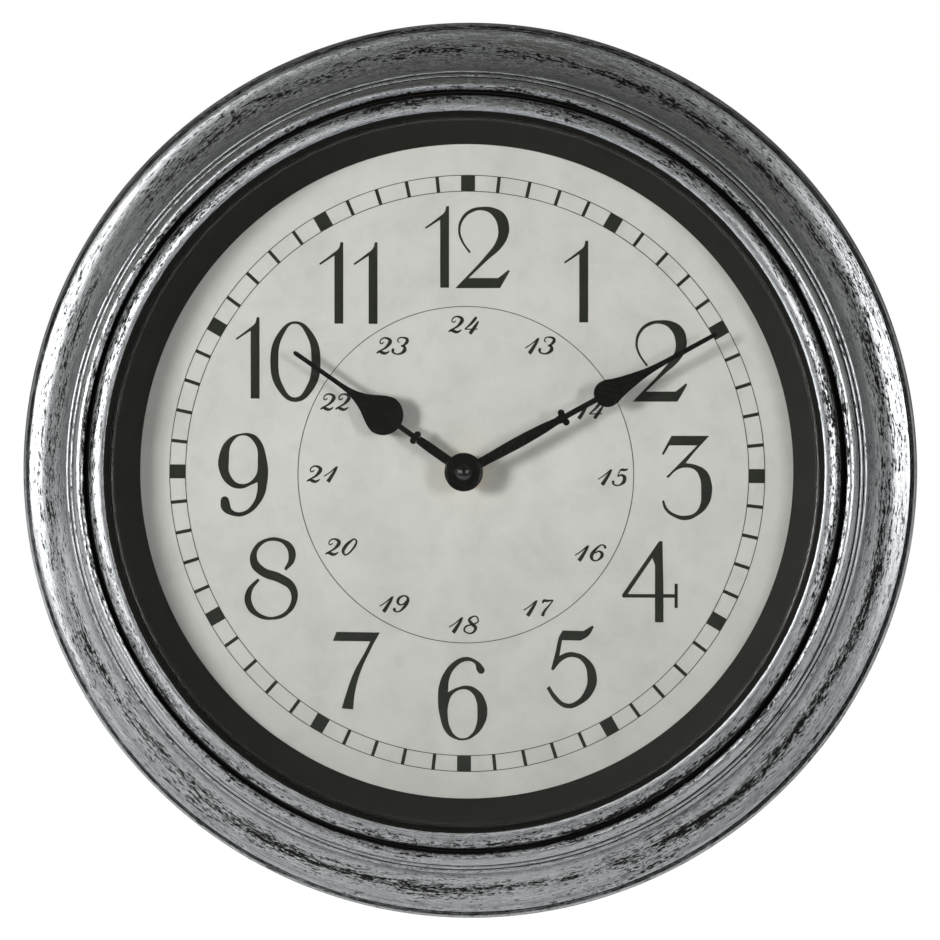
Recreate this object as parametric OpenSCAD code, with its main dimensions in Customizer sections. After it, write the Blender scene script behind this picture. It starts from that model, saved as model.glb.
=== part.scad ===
// Round quartz wall clock with a moulded frame, shown on its hand axis.
// The model is drawn lying on its back, z = distance from the wall, and is then
// stood up so that the dial faces -Y and the 12 points up.

/* [Frame] */
// Radius of the frame over its outer bead
frame_r = 152.5; // [145:0.5:160]
// Width of the frame, from the outer bead to the opening
frame_w = 33.3; // [31:0.1:36]
// Radial width of the hollow cove
cove_w = 14.5; // [12:0.1:16]
// Rise of the cove from its outer edge
cove_h = 12.7; // [10:0.1:14]
// Height of the cove's outer edge above the wall
cove_z = 12.3; // [11:0.1:14]
// Radius of the outer bead
bead_r = 1.9; // [1.2:0.1:2.2]
// Wall thickness of the moulded frame
frame_wall = 2.4; // [1.8:0.1:3]
// Number of screw bosses in the frame
boss_count = 8; // [4:1:12]

/* [Glass and dial] */
// Thickness of the lip in front of the glass
lip_t = 3.4; // [2.5:0.1:4]
// Thickness of the glass
lens_t = 2; // [1.5:0.1:3]
// Width of the glass edge held behind the lip
lens_lap = 1.4; // [1:0.1:2]
// Width of the inner bezel, from the opening to the dial
bezel_w = 8.6; // [6:0.1:12]
// Clear height between the cap nut and the glass
glass_gap = 0.65; // [0.4:0.05:3]
// Thickness of the printed dial sheet
paper_t = 0.3; // [0.2:0.05:0.6]
// Thickness of the back plate
plate_t = 2.3; // [1.8:0.1:3]

/* [Hands] */
// Distance from the tip of the minute hand to the inner bezel
minute_tip_gap = 14; // [8:0.1:24]
// Length of the minute hand beyond that of the hour hand
hand_step = 26.8; // [20:0.1:35]
// Thickness of both hands
hand_t = 0.45; // [0.3:0.05:0.7]
// Clear height between the two hands
hand_gap = 1.9; // [1.6:0.1:2.4]
// Direction of the hour hand, clockwise from 12, in degrees
hour_angle = 305.03; // [0:0.01:360]
// Direction of the minute hand, clockwise from 12, in degrees
minute_angle = 61.3; // [0:0.01:360]

/* [Movement] */
// Wall of the movement case
case_t = 1.2; // [1:0.1:1.4]
// Gap between the movement and the wall
wall_gap = 0.8; // [0.4:0.1:3]
// Thickness of the rubber washer
seal_t = 0.8; // [0.5:0.1:1.2]
// Radius of the threaded bush
bush_r = 4; // [3.8:0.1:4.4]
// Length of the threaded bush in front of the movement
bush_len = 7.6; // [7.2:0.1:8]
// Diameter of the battery
battery_dia = 14.2; // [13.5:0.1:14.5]
// Length of the battery without its contact nub
battery_len = 49.2; // [48:0.1:50.5]
// Radius of the minute pipe
pipe_r = 1.67; // [1.5:0.01:1.8]
// Thickness of the wheels of the train
wheel_t = 0.8; // [0.6:0.05:0.9]

/* [Hanger] */
// Distance from the hanger's screws to the inner bezel
hanger_in = 18.6; // [16:0.1:30]
// Radius of the keyhole's entry
key_r = 4.5; // [4:0.1:5]
// Width of the keyhole's slot
key_slot_w = 4.4; // [3.5:0.1:5]
// Thickness of the hanger plate
hanger_t = 1.2; // [0.8:0.1:1.6]

/* [Hidden] */
$fn = 96;
round_fn = 180;
cut = 0.5;               // overrun of cuts
fit_gap = 0.05;          // a pressed or screwed piece in its seat
run_gap = 0.08;          // radial clearance of a turning piece
free_gap = 0.3;          // between pieces that only pass each other

// Teeth, and the levels of the movement counted back from its front face
cannon_teeth = 15;
minute_wheel_teeth = 45;
minute_pinion_teeth = 12;
hour_teeth = 48;
rotor_teeth = 10;
interm_teeth = 60;
interm_pinion_teeth = 10;
seconds_teeth = 50;
seconds_pinion_teeth = 8;
third_teeth = 60;
third_pinion_teeth = 8;
center_teeth = 64;
level_gap = 0.4;
train_gap = 0.6;
mid_t = 1;
axial_gap = 0.25;
pinion_lap = 0.2;        // pinion beyond its mating wheel
hour_wheel_t = 1;
hour_u = case_t + free_gap;
minute_u = hour_u + hour_wheel_t + level_gap;
mid_u = minute_u + wheel_t + level_gap;
train_u = mid_u + mid_t + level_gap;
function train_level(i) = train_u + i * (wheel_t + train_gap);
knob_t = 3;
train_depth = train_level(3) + wheel_t + pinion_lap + case_t + knob_t + 3 * free_gap;
battery_depth = battery_dia + case_t + free_gap / 2 + axial_gap;
mov_d = max(train_depth, battery_depth);

// Stack along the depth of the clock, from the wall
hub_gap = 1;
minute_hub_t = 1.2;
cap_t = 0.6;
cap_dome_h = 0.75;
mov_z = wall_gap + mov_d;
plate_z = mov_z + seal_t;
paper_z = plate_z + plate_t;
dial_z = paper_z + paper_t;
hour_hand_z = mov_z + bush_len + hub_gap;
minute_hand_z = hour_hand_z + hand_t + hand_gap;
cap_z = minute_hand_z + hand_t + minute_hub_t;
lens_z = cap_z + cap_t + cap_dome_h + glass_gap;
crown_z = lens_z + lens_t + lip_t;

// Rings, from the outside in
rim_inset = 3;           // rear edge of the side wall, in from the bead
cove_inset = 2.5;        // outer edge of the cove, in from the bead
opening_r = frame_r - frame_w;
dial_r = opening_r - bezel_w;
lens_r = opening_r + lens_lap;
seat_gap = 0.4;          // glass edge to its seat
seat_r = lens_r + seat_gap;
seat_wall = 2.2;
seat_out_r = seat_r + seat_wall;
boss_r = 3.4;
boss_ring_r = seat_out_r + boss_r - seat_gap;
flange_t = 2.2;
flange_lap = 0.6;        // flange beyond the bosses
flange_r = boss_ring_r + boss_r + flange_lap;
screw_r = 1.4;
screw_head_r = 2.9;
screw_head_t = 1.6;
screw_len = 9;

// Frame mouldings between the cove and the opening, as shares of their width and rise
cove_axis_r = frame_r - cove_inset;
cove_top_z = cove_z + cove_h;
mould_w = cove_axis_r - cove_w - opening_r;
mould_h = crown_z - cove_top_z;
ridge_share = 0.049;
bead_share = 0.135;
ridge_a_shares = [0.957, 0.017];
ridge_b_shares = [0.859, 0.138];
bead_c_shares = [0.66, 0.517];
groove_d_shares = [[0.531, 0.543], [0.518, 0.509], [0.494, 0.509], [0.4785, 0.552],
    [0.4386, 0.793], [0.414, 0.888], [0.391, 0.93]];
crown_at_share = 0.2025;
crown_r_share = 0.423;
crown_turn = 23;
lip_edge_shares = [[0.015, 0.935], [0, 0.9]];
roof_shares = [[0.072, 0.52], [0.165, 0.31], [0.55, 0.26], [0.667, 0]];
cove_steps = 18;
arc_steps = 8;

function arc(c, r, a, b, n = arc_steps) =
    [for (i = [0 : n]) let (t = a + (b - a) * i / n) [c[0] + r * cos(t), c[1] + r * sin(t)]];
function mould(s) = [opening_r + s[0] * mould_w, cove_top_z + s[1] * mould_h];
function moulds(list) = [for (s = list) mould(s)];
function roof(s) =
    [seat_out_r + s[0] * (cove_axis_r - cove_w - seat_out_r), cove_top_z + s[1] * mould_h];
function cove(wall, t) =
    [cove_axis_r - (cove_w + wall) * sin(t), cove_top_z - (cove_h + wall) * cos(t)];

// Places round the hand axis
function polar(r, a) = [r * cos(a), r * sin(a)];

module bench() { translate([0, crown_z / 2, 0]) rotate([90, 0, 0]) children(); }
module up(z) { translate([0, 0, z]) children(); }
module at(p, z = 0) { translate([p[0], p[1], z]) children(); }
module ring(r_out, r_in, t) {
    difference() {
        cylinder(r = r_out, h = t);
        up(-cut) cylinder(r = r_in, h = t + 2 * cut);
    }
}
module rounded(w, h, r) {
    square([w - 2 * r, h], center = true);
    square([w, h - 2 * r], center = true);
    for (x = [-1, 1], y = [-1, 1]) translate([x * (w / 2 - r), y * (h / 2 - r)]) circle(r = r);
}
module box2(x0, y0, x1, y1) { translate([x0, y0]) square([x1 - x0, y1 - y0]); }

// Frame: one hollow moulding, open at the back
groove_depth = 2.8;
bead_drop = 1;           // centre of the bead below the groove's floor
groove_floor_z = cove_z - groove_depth;
bead_z = groove_floor_z - bead_drop;
side_in_r = frame_r - rim_inset - frame_wall;
outer_groove_w = 1.1;
edge_r = 0.3;
function front_path() = concat(
    [[frame_r - rim_inset, 0]],
    arc([frame_r - bead_r, bead_z], bead_r, -60, 62, 14),
    [[cove_axis_r + outer_groove_w, groove_floor_z + edge_r], [cove_axis_r + edge_r, groove_floor_z],
     [cove_axis_r, groove_floor_z + edge_r], [cove_axis_r, cove_z - edge_r]],
    [for (i = [1 : cove_steps]) cove(0, 90 * i / cove_steps)],
    arc(mould(ridge_a_shares), ridge_share * mould_w, -15, 160),
    arc(mould(ridge_b_shares), ridge_share * mould_w, -25, 130),
    arc(mould(bead_c_shares), bead_share * mould_w, -28, 150, 14),
    moulds(groove_d_shares),
    arc([opening_r + crown_at_share * mould_w, crown_z - crown_r_share * mould_w],
        crown_r_share * mould_w, 90 - crown_turn, 90 + crown_turn, 12),
    moulds(lip_edge_shares));
// The roof under the mouldings, sunk into the wall by what the wall has over the given one
function roof_path(wall) = let (sink = (frame_wall - wall) * sin(45)) concat(
    [roof(roof_shares[0]) + [0, frame_wall - wall]],
    [for (i = [1 : 3]) roof(roof_shares[i]) + [sink, sink]],
    [for (i = [0 : 9]) cove(wall, 75 - 7 * i)]);
module frame_shell() {
    rotate_extrude($fn = round_fn) polygon(concat(
        front_path(),
        [[opening_r, crown_z - lip_t], [seat_r, crown_z - lip_t], [seat_r, plate_z],
         [seat_out_r, plate_z], [seat_out_r, roof(roof_shares[0])[1]]],
        roof_path(frame_wall),
        [[side_in_r, cove_z - frame_wall], [side_in_r, 0]]));
}
rib_t = 1.6;
rib_in_r = flange_r + seat_gap;
rib_z = groove_floor_z / 2;
module frame_rib() {
    path = roof_path(frame_wall / 2);
    rotate([90, 0, 0]) translate([0, 0, -rib_t / 2]) linear_extrude(rib_t) polygon(concat(
        [[seat_out_r - seat_wall / 2, plate_z + seat_gap], [seat_out_r - seat_wall / 2, path[0][1]]],
        path,
        [[side_in_r + frame_wall / 2, cove_z - frame_wall], [side_in_r + frame_wall / 2, rib_z],
         [rib_in_r, rib_z], [rib_in_r, plate_z + seat_gap]]));
}
// A boss ends inside the wall, under the lowest moulding or cove above it
boss_out_r = boss_ring_r + boss_r;
cove_reach = min(1, (cove_axis_r - boss_out_r) / cove_w);
boss_skin_z = boss_out_r < mould(bead_c_shares)[0] + bead_share * mould_w
    ? mould(groove_d_shares[1])[1] : cove_top_z - cove_h * sqrt(1 - pow(cove_reach, 2));
boss_top_z = boss_skin_z - frame_wall / 2;
module frame_ring() {
    color([0.45, 0.45, 0.43]) bench() {
        difference() {
            union() {
                frame_shell();
                for (i = [0 : boss_count - 1]) rotate(360 * (i + 0.5) / boss_count)
                    translate([boss_ring_r, 0, plate_z]) cylinder(r = boss_r, h = boss_top_z - plate_z);
                for (i = [0 : 2 * boss_count - 1]) rotate(180 * i / boss_count + 90 / boss_count)
                    frame_rib();
            }
            for (i = [0 : boss_count - 1]) rotate(360 * (i + 0.5) / boss_count)
                translate([boss_ring_r, 0, plate_z - cut])
                    cylinder(r = screw_r + fit_gap, h = screw_len - flange_t + 2 * cut);
        }
    }
}

module lens() {
    color([0.85, 0.9, 0.92, 0.3]) bench() up(lens_z) cylinder(r = lens_r, h = lens_t, $fn = round_fn);
}

// Inner bezel: a thin funnel from the dial up to the glass
bezel_wall = 1.5;
bezel_out_r = lens_r - fit_gap;
shoulder_in = 0.7;       // shoulder inside the frame's opening
foot_h = 0.7;
module inner_bezel() {
    shoulder_r = opening_r - shoulder_in;
    color([0.11, 0.11, 0.1]) bench() rotate_extrude($fn = round_fn) polygon(concat(
        [[bezel_out_r, dial_z], [bezel_out_r, lens_z], [shoulder_r + edge_r, lens_z],
         [shoulder_r, lens_z - edge_r], [shoulder_r - edge_r, lens_z - 2.5 * edge_r]],
        [[dial_r + 2 * edge_r, dial_z + foot_h], [dial_r, dial_z + foot_h - edge_r], [dial_r, dial_z],
         [dial_r + bezel_wall, dial_z], [dial_r + bezel_wall, dial_z + foot_h],
         [shoulder_r, lens_z - 2 * bezel_wall], [bezel_out_r - bezel_wall, lens_z - 2 * bezel_wall],
         [bezel_out_r - bezel_wall, dial_z]]));
}

dial_lap = 6;            // dial sheet hidden below the bezel
module dial_paper() {
    color([0.8, 0.8, 0.78]) bench() up(paper_z)
        ring(dial_r + dial_lap, bush_r + fit_gap, paper_t, $fn = round_fn);
}

// Back plate: a moulded disc with a flange, ribs, a collar round the movement and two hanger posts
plate_rib_h = 4;
rib_ring_in = 38.6;      // ring of ribs inside the inner bezel
rib_ring_r = dial_r - rib_ring_in;
rib_count = 12;
recess_gap = 1.2;        // collar to movement
collar_t = 1.6;
collar_h = 5.5;
post_r = 4;
post_x = 17;
hanger_head_t = 1;
hanger_z = wall_gap + hanger_head_t;
hanger_w = 2 * (post_x + post_r + seat_gap);
hanger_h = 27;
post_wall_t = 1.6;
hanger_y = dial_r - hanger_in;
module post_web(y) {
    translate([-post_x, y - post_wall_t / 2, hanger_z + hanger_t])
        cube([2 * post_x, post_wall_t, plate_z - hanger_z - hanger_t + fit_gap]);
}
module back_plate() {
    post_h = plate_z - hanger_z - hanger_t;
    color([0.13, 0.13, 0.13]) bench() difference() {
        union() {
            up(plate_z) cylinder(r = lens_r - fit_gap, h = plate_t, $fn = round_fn);
            up(plate_z - flange_t) ring(flange_r, dial_r, flange_t, $fn = round_fn);
            up(plate_z - plate_rib_h)
                ring(rib_ring_r + rib_t / 2, rib_ring_r - rib_t / 2, plate_rib_h + fit_gap);
            for (i = [0 : rib_count - 1]) rotate(360 * (i + 0.5) / rib_count)
                translate([rib_ring_r, -rib_t / 2, plate_z - plate_rib_h])
                    cube([dial_r + flange_t - rib_ring_r, rib_t, plate_rib_h + fit_gap]);
            up(plate_z - collar_h) linear_extrude(collar_h + fit_gap) difference() {
                square([mov_w, mov_h] + [2, 2] * (recess_gap + collar_t), center = true);
                square([mov_w, mov_h] + [2, 2] * recess_gap, center = true);
            }
            for (x = [-1, 1]) translate([x * post_x, hanger_y, hanger_z + hanger_t])
                cylinder(r = post_r, h = post_h + fit_gap);
            for (y = [-1, 1]) post_web(hanger_y + y * (hanger_h / 2 - post_wall_t));
            for (x = [-1, 1]) translate([x * post_x - post_wall_t / 2,
                    hanger_y - hanger_h / 2 + post_wall_t / 2, hanger_z + hanger_t])
                cube([post_wall_t, hanger_h - post_wall_t, post_h + fit_gap]);
        }
        up(plate_z - cut) cylinder(r = bush_r + fit_gap, h = plate_t + 2 * cut);
        for (i = [0 : boss_count - 1]) rotate(360 * (i + 0.5) / boss_count)
            translate([boss_ring_r, 0, plate_z - flange_t - cut])
                cylinder(r = screw_r + seat_gap / 2, h = flange_t + 2 * cut);
        for (x = [-1, 1]) translate([x * post_x, hanger_y, hanger_z + hanger_t - cut])
            cylinder(r = screw_r + fit_gap, h = hanger_screw_len + cut);
    }
}

screw_head_shares = [[0, 1], [0.55, 1], [0.87, 0.75], [1, 0.35], [1, 0]];
module pan_screw(head_r, head_t, shank_r, shank_len) {
    rotate_extrude() polygon(concat([for (s = screw_head_shares) [s[0] * head_r, -s[1] * head_t]],
        [[shank_r, 0], [shank_r, shank_len - shank_r], [0, shank_len]]));
}
module plate_screws() {
    color([0.6, 0.6, 0.62]) bench()
        for (i = [0 : boss_count - 1]) rotate(360 * (i + 0.5) / boss_count)
            translate([boss_ring_r, 0, plate_z - flange_t])
                pan_screw(screw_head_r, screw_head_t, screw_r, screw_len);
}

// Hanger: a stamped keyhole plate on the two posts
hanger_screw_len = 7;
slot_rise = 6.5;         // entry centre to slot end
module hanger_plate() {
    color([0.62, 0.63, 0.65]) bench() translate([0, hanger_y, hanger_z]) linear_extrude(hanger_t)
        difference() {
            rounded(hanger_w, hanger_h, post_r);
            translate([0, -slot_rise / 2]) circle(r = key_r);
            translate([-key_slot_w / 2, -slot_rise / 2]) square([key_slot_w, slot_rise]);
            translate([0, slot_rise / 2]) circle(r = key_slot_w / 2);
            for (x = [-1, 1]) translate([x * post_x, 0]) circle(r = screw_r + seat_gap / 2);
        }
}
module hanger_screws() {
    color([0.6, 0.6, 0.62]) bench() for (x = [-1, 1]) translate([x * post_x, hanger_y, hanger_z])
        pan_screw(screw_head_r, hanger_head_t, screw_r, hanger_screw_len);
}

// Movement
back_u = mov_d - case_t;
split_u = 7;
module level(u_a, u_b) { up(mov_z - u_b) linear_extrude(u_b - u_a) children(); }
module rod(u_a, u_b, r) { up(mov_z - u_b) cylinder(r = r, h = u_b - u_a); }

// Arbors
arbor_r = 0.5;
pipe_bore_r = arbor_r + run_gap;
knob_arbor_r = 1.2;
cannon_wall = 0.33;      // minute pipe to the roots of the cannon pinion
root_share = 1.25;
motion_module = (pipe_r + cannon_wall) / (cannon_teeth / 2 - root_share);
motion_cd = motion_module * (cannon_teeth + minute_wheel_teeth) / 2;
third_cd = 9;
interm_cd = 9.2;
rotor_cd = 7;
minute_dir = 95;
third_dir = 20;
interm_dir = 190;
rotor_dir = 110;
minute_at = polar(motion_cd, minute_dir);
third_at = polar(third_cd, third_dir);
interm_at = polar(interm_cd, interm_dir);
rotor_at = interm_at + polar(rotor_cd, rotor_dir);
arbor_u = mid_u + mid_t / 10;
arbor_end_u = back_u - axial_gap;

// Gears: a tooth is six points, each a share of the pitch and a share of the module
tooth_shares = [[-0.27, -root_share], [-0.2, 0], [-0.07, 0.85],
    [0.07, 0.85], [0.2, 0], [0.27, -root_share]];
leaf_shares = [[-0.24, -root_share], [-0.2, 0], [-0.09, 0.75],
    [0.09, 0.75], [0.2, 0], [0.24, -root_share]];
function gear_module(cd, a, b) = 2 * cd / (a + b);
function gear_outline(teeth, m, shares) = [for (i = [0 : teeth - 1], s = shares)
    let (r = teeth * m / 2 + s[1] * m, t = 360 * (i + s[0]) / teeth) [r * cos(t), r * sin(t)]];
// The driving pinion points a leaf along dir, the wheel a gap back along it
module pinion_outline(cd, teeth, mate, dir) {
    rotate(dir) polygon(gear_outline(teeth, gear_module(cd, teeth, mate), leaf_shares));
}
module wheel_outline(cd, teeth, mate, dir) {
    rotate(dir + 180 + 180 / teeth)
        polygon(gear_outline(teeth, gear_module(cd, teeth, mate), tooth_shares));
}
hub_r = 2.1;
rim_w = 1.2;
window_count = 5;
module windows(cd, teeth, mate, hub = hub_r) {
    rim_in_r = cd * teeth / (teeth + mate) - rim_w;
    for (i = [0 : window_count - 1]) rotate(360 * i / window_count)
        translate([(hub + rim_in_r) / 2, 0]) circle(r = (rim_in_r - hub) / 2, $fn = 12);
}
module arbor_hole(r) { circle(r = r + fit_gap, $fn = 12); }

// Width from the battery and its contacts, height from the battery, train, knob and coil
case_r = 3;
strip_t = 0.4;
strip_gap = 0.1;
nub_len = 1;
spring_len = 2.2;
mov_w = battery_len + nub_len + spring_len + 2 * (case_t + strip_t + 2 * strip_gap);
train_room = 11.1;       // hand axis to the battery bay
bay_h = battery_dia + 2 * case_t + free_gap;
knob_r = 6;
knob_well_gap = 0.9;
coil_r = 4.2;
coil_gap = 0.7;
knob_room = minute_at[1] + knob_r + knob_well_gap + 2 * case_t + 2 * coil_r + coil_gap;
mov_h = 2 * max(bay_h + train_room, knob_room);
bay_wall_y = -mov_h / 2 + bay_h;
battery_y = -mov_h / 2 + case_t + free_gap + battery_dia / 2;
battery_u = mov_d - free_gap / 2 - battery_dia / 2;
bush_flange_r = 6.5;
strip_x = mov_w / 2 - case_t - strip_gap - strip_t;
coil_y = mov_h / 2 - case_t - coil_gap - coil_r;
mid_plate_top_y = coil_y - coil_r - 3 * free_gap;
mid_post_r = 1.6;
mid_post_x = mov_w / 2 - case_t - 3 * mid_post_r;
mid_post_y = [bay_wall_y + mid_post_r + free_gap, mid_plate_top_y - 2 * mid_post_r];
function mid_posts() = [for (x = [-1, 1], y = mid_post_y) [x * mid_post_x, y]];
module case_outline() { rounded(mov_w, mov_h, case_r); }
module case_inside() { rounded(mov_w - 2 * case_t, mov_h - 2 * case_t, case_r - case_t); }
module bay_partition() {
    box2(-strip_x + free_gap, bay_wall_y - case_t, strip_x - free_gap, bay_wall_y);
}
module movement_front_case() {
    color([0.16, 0.16, 0.17]) bench() difference() {
        union() {
            level(0, case_t) case_outline();
            level(case_t - cut, split_u) difference() {
                case_outline();
                case_inside();
            }
            level(case_t - cut, split_u) bay_partition();
            for (p = mid_posts()) at(p) rod(case_t - cut, mid_u, mid_post_r);
        }
        rod(-cut, case_t + cut, bush_flange_r + fit_gap);
        for (p = mid_posts()) at(p) rod(case_t + free_gap, mid_u + cut, screw_r / 2 + fit_gap);
    }
}

// Back case: closed over the train, open over the battery, with a well for the setting knob
knob_well_u = mov_d - knob_t - 2 * free_gap;
bearing_r = 1.6;
bearing_h = 3;
train_axes = [third_at, interm_at, rotor_at, [0, 0]];
cradle_w = 2;
cradle_x = battery_len / 3;
module movement_back_case() {
    color([0.14, 0.14, 0.15]) bench() difference() {
        union() {
            level(split_u, mov_d) difference() {
                case_outline();
                case_inside();
            }
            level(back_u, mov_d) intersection() {
                case_outline();
                box2(-mov_w / 2, bay_wall_y - case_t, mov_w / 2, mov_h / 2);
            }
            level(split_u, mov_d) bay_partition();
            at(minute_at) rod(knob_well_u - case_t, mov_d, knob_r + knob_well_gap + case_t);
            for (p = train_axes) at(p) rod(back_u - bearing_h, back_u + cut, bearing_r);
            for (x = [-1, 1]) level(split_u, battery_u)
                box2(x * cradle_x - cradle_w / 2, -mov_h / 2 + case_t / 2,
                    x * cradle_x + cradle_w / 2, -mov_h / 2 + case_t + free_gap / 2);
        }
        at(minute_at) rod(knob_well_u, mov_d + cut, knob_r + knob_well_gap);
        at(minute_at) rod(knob_well_u - case_t - cut, knob_well_u + cut, knob_arbor_r + run_gap);
        for (p = train_axes) at(p)
            rod(back_u - bearing_h - cut, arbor_end_u + axial_gap, arbor_r + run_gap);
    }
}

module middle_plate() {
    plate_x = mid_post_x + 2 * mid_post_r;
    color([0.75, 0.72, 0.6]) bench() level(mid_u, mid_u + mid_t) difference() {
        box2(-plate_x, bay_wall_y + free_gap, plate_x, mid_plate_top_y);
        for (p = mid_posts()) at(p) circle(r = screw_r / 2 + fit_gap);
        for (p = [third_at, interm_at, rotor_at]) at(p) circle(r = arbor_r + run_gap);
        at(minute_at) circle(r = knob_arbor_r + run_gap);
        circle(r = pipe_r + run_gap);
    }
}

// Hand fitting: bush, rubber washer behind the plate, washer and nut in front
hour_pipe_wall = 0.8;
hour_pipe_r = pipe_r + run_gap + hour_pipe_wall;
nut_t = 2.2;
nut_washer_t = 0.6;
washer_lap = 0.5;        // washer beyond the flats of the nut
seal_w = 5;
nut_flats = 10.4;
module center_bush() {
    color([0.78, 0.62, 0.3]) bench() difference() {
        union() {
            up(mov_z - case_t) cylinder(r = bush_flange_r, h = case_t);
            up(mov_z) cylinder(r = bush_r, h = bush_len);
        }
        up(mov_z - case_t - cut) cylinder(r = hour_pipe_r + run_gap, h = bush_len + case_t + 2 * cut);
    }
}
module rubber_washer() {
    color([0.1, 0.1, 0.1]) bench() up(mov_z) ring(bush_r + seal_w, bush_r + fit_gap, seal_t);
}
module nut_washer() {
    color([0.75, 0.6, 0.3]) bench() up(dial_z)
        ring(nut_flats / 2 + washer_lap, bush_r + fit_gap, nut_washer_t);
}
module hex_nut() {
    color([0.78, 0.62, 0.3]) bench() up(dial_z + nut_washer_t) difference() {
        cylinder(r = nut_flats / sqrt(3), h = nut_t, $fn = 6);
        up(-cut) cylinder(r = bush_r + fit_gap, h = nut_t + 2 * cut);
    }
}

// Motor: rotor magnet in a C-shaped stator whose ends carry the coil
rotor_magnet_r = 2.5;
magnet_len = 2.6;
stator_u = train_level(1) + pinion_lap;
stator_t = 0.8;
leg_w = 3.2;
coil_core_r = 1.6;
coil_flange_t = 1;
coil_in = 9;             // coil inside the left side of the case
coil_end_x = 3.3;
coil_x = [coil_in - mov_w / 2, coil_end_x];
coil_u = 7.5;
pole_gap = 0.4;
module stator() {
    top = coil_y + coil_core_r;
    hole_r = rotor_magnet_r + pole_gap;
    leg_lo = rotor_at[1] - leg_w / 2;
    step_x = rotor_at[0] + 1.5 * leg_w;
    step_y = coil_y - coil_r - free_gap;
    color([0.55, 0.56, 0.58]) bench() level(stator_u, stator_u + stator_t) difference() {
        union() {
            at(rotor_at) circle(r = hole_r + leg_w / 2);
            box2(coil_x[0] - leg_w, leg_lo, rotor_at[0], leg_lo + leg_w);
            box2(coil_x[0] - leg_w, leg_lo, coil_x[0], top);
            box2(rotor_at[0], leg_lo, step_x + leg_w, leg_lo + leg_w);
            box2(step_x, leg_lo, step_x + leg_w, step_y);
            box2(step_x, step_y - leg_w * 0.8, coil_x[1] + leg_w, step_y);
            box2(coil_x[1], step_y - leg_w * 0.8, coil_x[1] + leg_w, top);
        }
        at(rotor_at) circle(r = hole_r);
    }
}
module along_x(x0, x1, r) {
    translate([x0, coil_y, mov_z - coil_u]) rotate([0, 90, 0]) cylinder(r = r, h = x1 - x0);
}
module coil_bobbin() {
    color([0.85, 0.84, 0.8]) bench() {
        along_x(coil_x[0], coil_x[1], coil_core_r);
        along_x(coil_x[0], coil_x[0] + coil_flange_t, coil_r);
        along_x(coil_x[1] - coil_flange_t, coil_x[1], coil_r);
    }
}
module coil_winding() {
    color([0.65, 0.3, 0.12]) bench() difference() {
        along_x(coil_x[0] + coil_flange_t, coil_x[1] - coil_flange_t, coil_r - free_gap);
        along_x(coil_x[0], coil_x[1], coil_core_r);
    }
}

// Circuit board and battery contacts
board_t = 0.9;
board_u = 10;
board_x = 9;
board_y = 7;
board_hi_x = mov_w / 2 - case_t - strip_t - 3 * strip_gap;
board_hi_y = mov_h / 2 - case_t - 3 * free_gap;
chip_r = 2.6;
chip_in = 5;             // chip's middle inside the corner of the board
module circuit_board() {
    color([0.1, 0.32, 0.18]) bench() {
        level(board_u, board_u + board_t) box2(board_x, board_y, board_hi_x, board_hi_y);
        at([board_x + chip_in, board_y + chip_in]) rod(board_u + board_t, board_u + 2 * board_t, chip_r);
    }
}
crystal_r = 1;
crystal_len = 6;
crystal_in = 2;          // end of the crystal inside the edge of the board
crystal_drop = 4;
module quartz_crystal() {
    color([0.8, 0.8, 0.82]) bench()
        translate([board_hi_x - crystal_in - crystal_len, board_hi_y - crystal_drop,
                mov_z - board_u - board_t - crystal_r])
            rotate([0, 90, 0]) cylinder(r = crystal_r, h = crystal_len);
}
strip_lo_u = 11.4;
strip_hi_u = 13.2;
pad_lo_u = 4;
pad_w = 3;               // half width of the pads that meet the battery
pos_tab_up = 6;          // tabs of the contacts on the board, from its lower left corner
neg_tab_in = 3;
neg_tab_up = 2;
pos_tab_y = board_y + pos_tab_up;
neg_tab_x = board_x + neg_tab_in;
neg_tab_y = board_y + neg_tab_up;
spring_r = 3;
spring_tip_r = 1.6;
module battery_contact_pos() {
    color([0.75, 0.74, 0.7]) bench() {
        level(pad_lo_u, strip_hi_u)
            box2(strip_x, battery_y - pad_w, strip_x + strip_t, battery_y + pad_w);
        level(board_u, strip_hi_u) box2(strip_x, battery_y, strip_x + strip_t, pos_tab_y);
    }
}
module battery_contact_neg() {
    run_y = bay_wall_y + strip_gap;
    color([0.75, 0.74, 0.7]) bench() {
        level(pad_lo_u, strip_hi_u)
            box2(-strip_x - strip_t, battery_y - pad_w, -strip_x, battery_y + pad_w);
        level(strip_lo_u, strip_hi_u) {
            box2(-strip_x - strip_t, battery_y, -strip_x, run_y + strip_t);
            box2(-strip_x - strip_t, run_y, neg_tab_x, run_y + strip_t);
            box2(neg_tab_x, run_y, neg_tab_x + strip_t, neg_tab_y);
        }
        level(board_u + board_t, strip_lo_u) box2(neg_tab_x, board_y, neg_tab_x + strip_t, neg_tab_y);
        translate([-strip_x, battery_y, mov_z - battery_u]) rotate([0, 90, 0])
            cylinder(r1 = spring_r, r2 = spring_tip_r, h = spring_len);
    }
}
nub_r = 2.7;
battery_edge = 0.6;
module battery() {
    end_r = battery_dia / 2 - battery_edge;
    far = nub_len + battery_len;
    color([0.2, 0.22, 0.25]) bench() translate([strip_x - strip_gap, battery_y, mov_z - battery_u])
        rotate([0, -90, 0]) rotate_extrude() polygon([[0, 0], [nub_r, 0], [nub_r, nub_len],
            [end_r, nub_len], [battery_dia / 2, nub_len + battery_edge],
            [battery_dia / 2, far - battery_edge], [end_r, far], [0, far]]);
}

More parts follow.
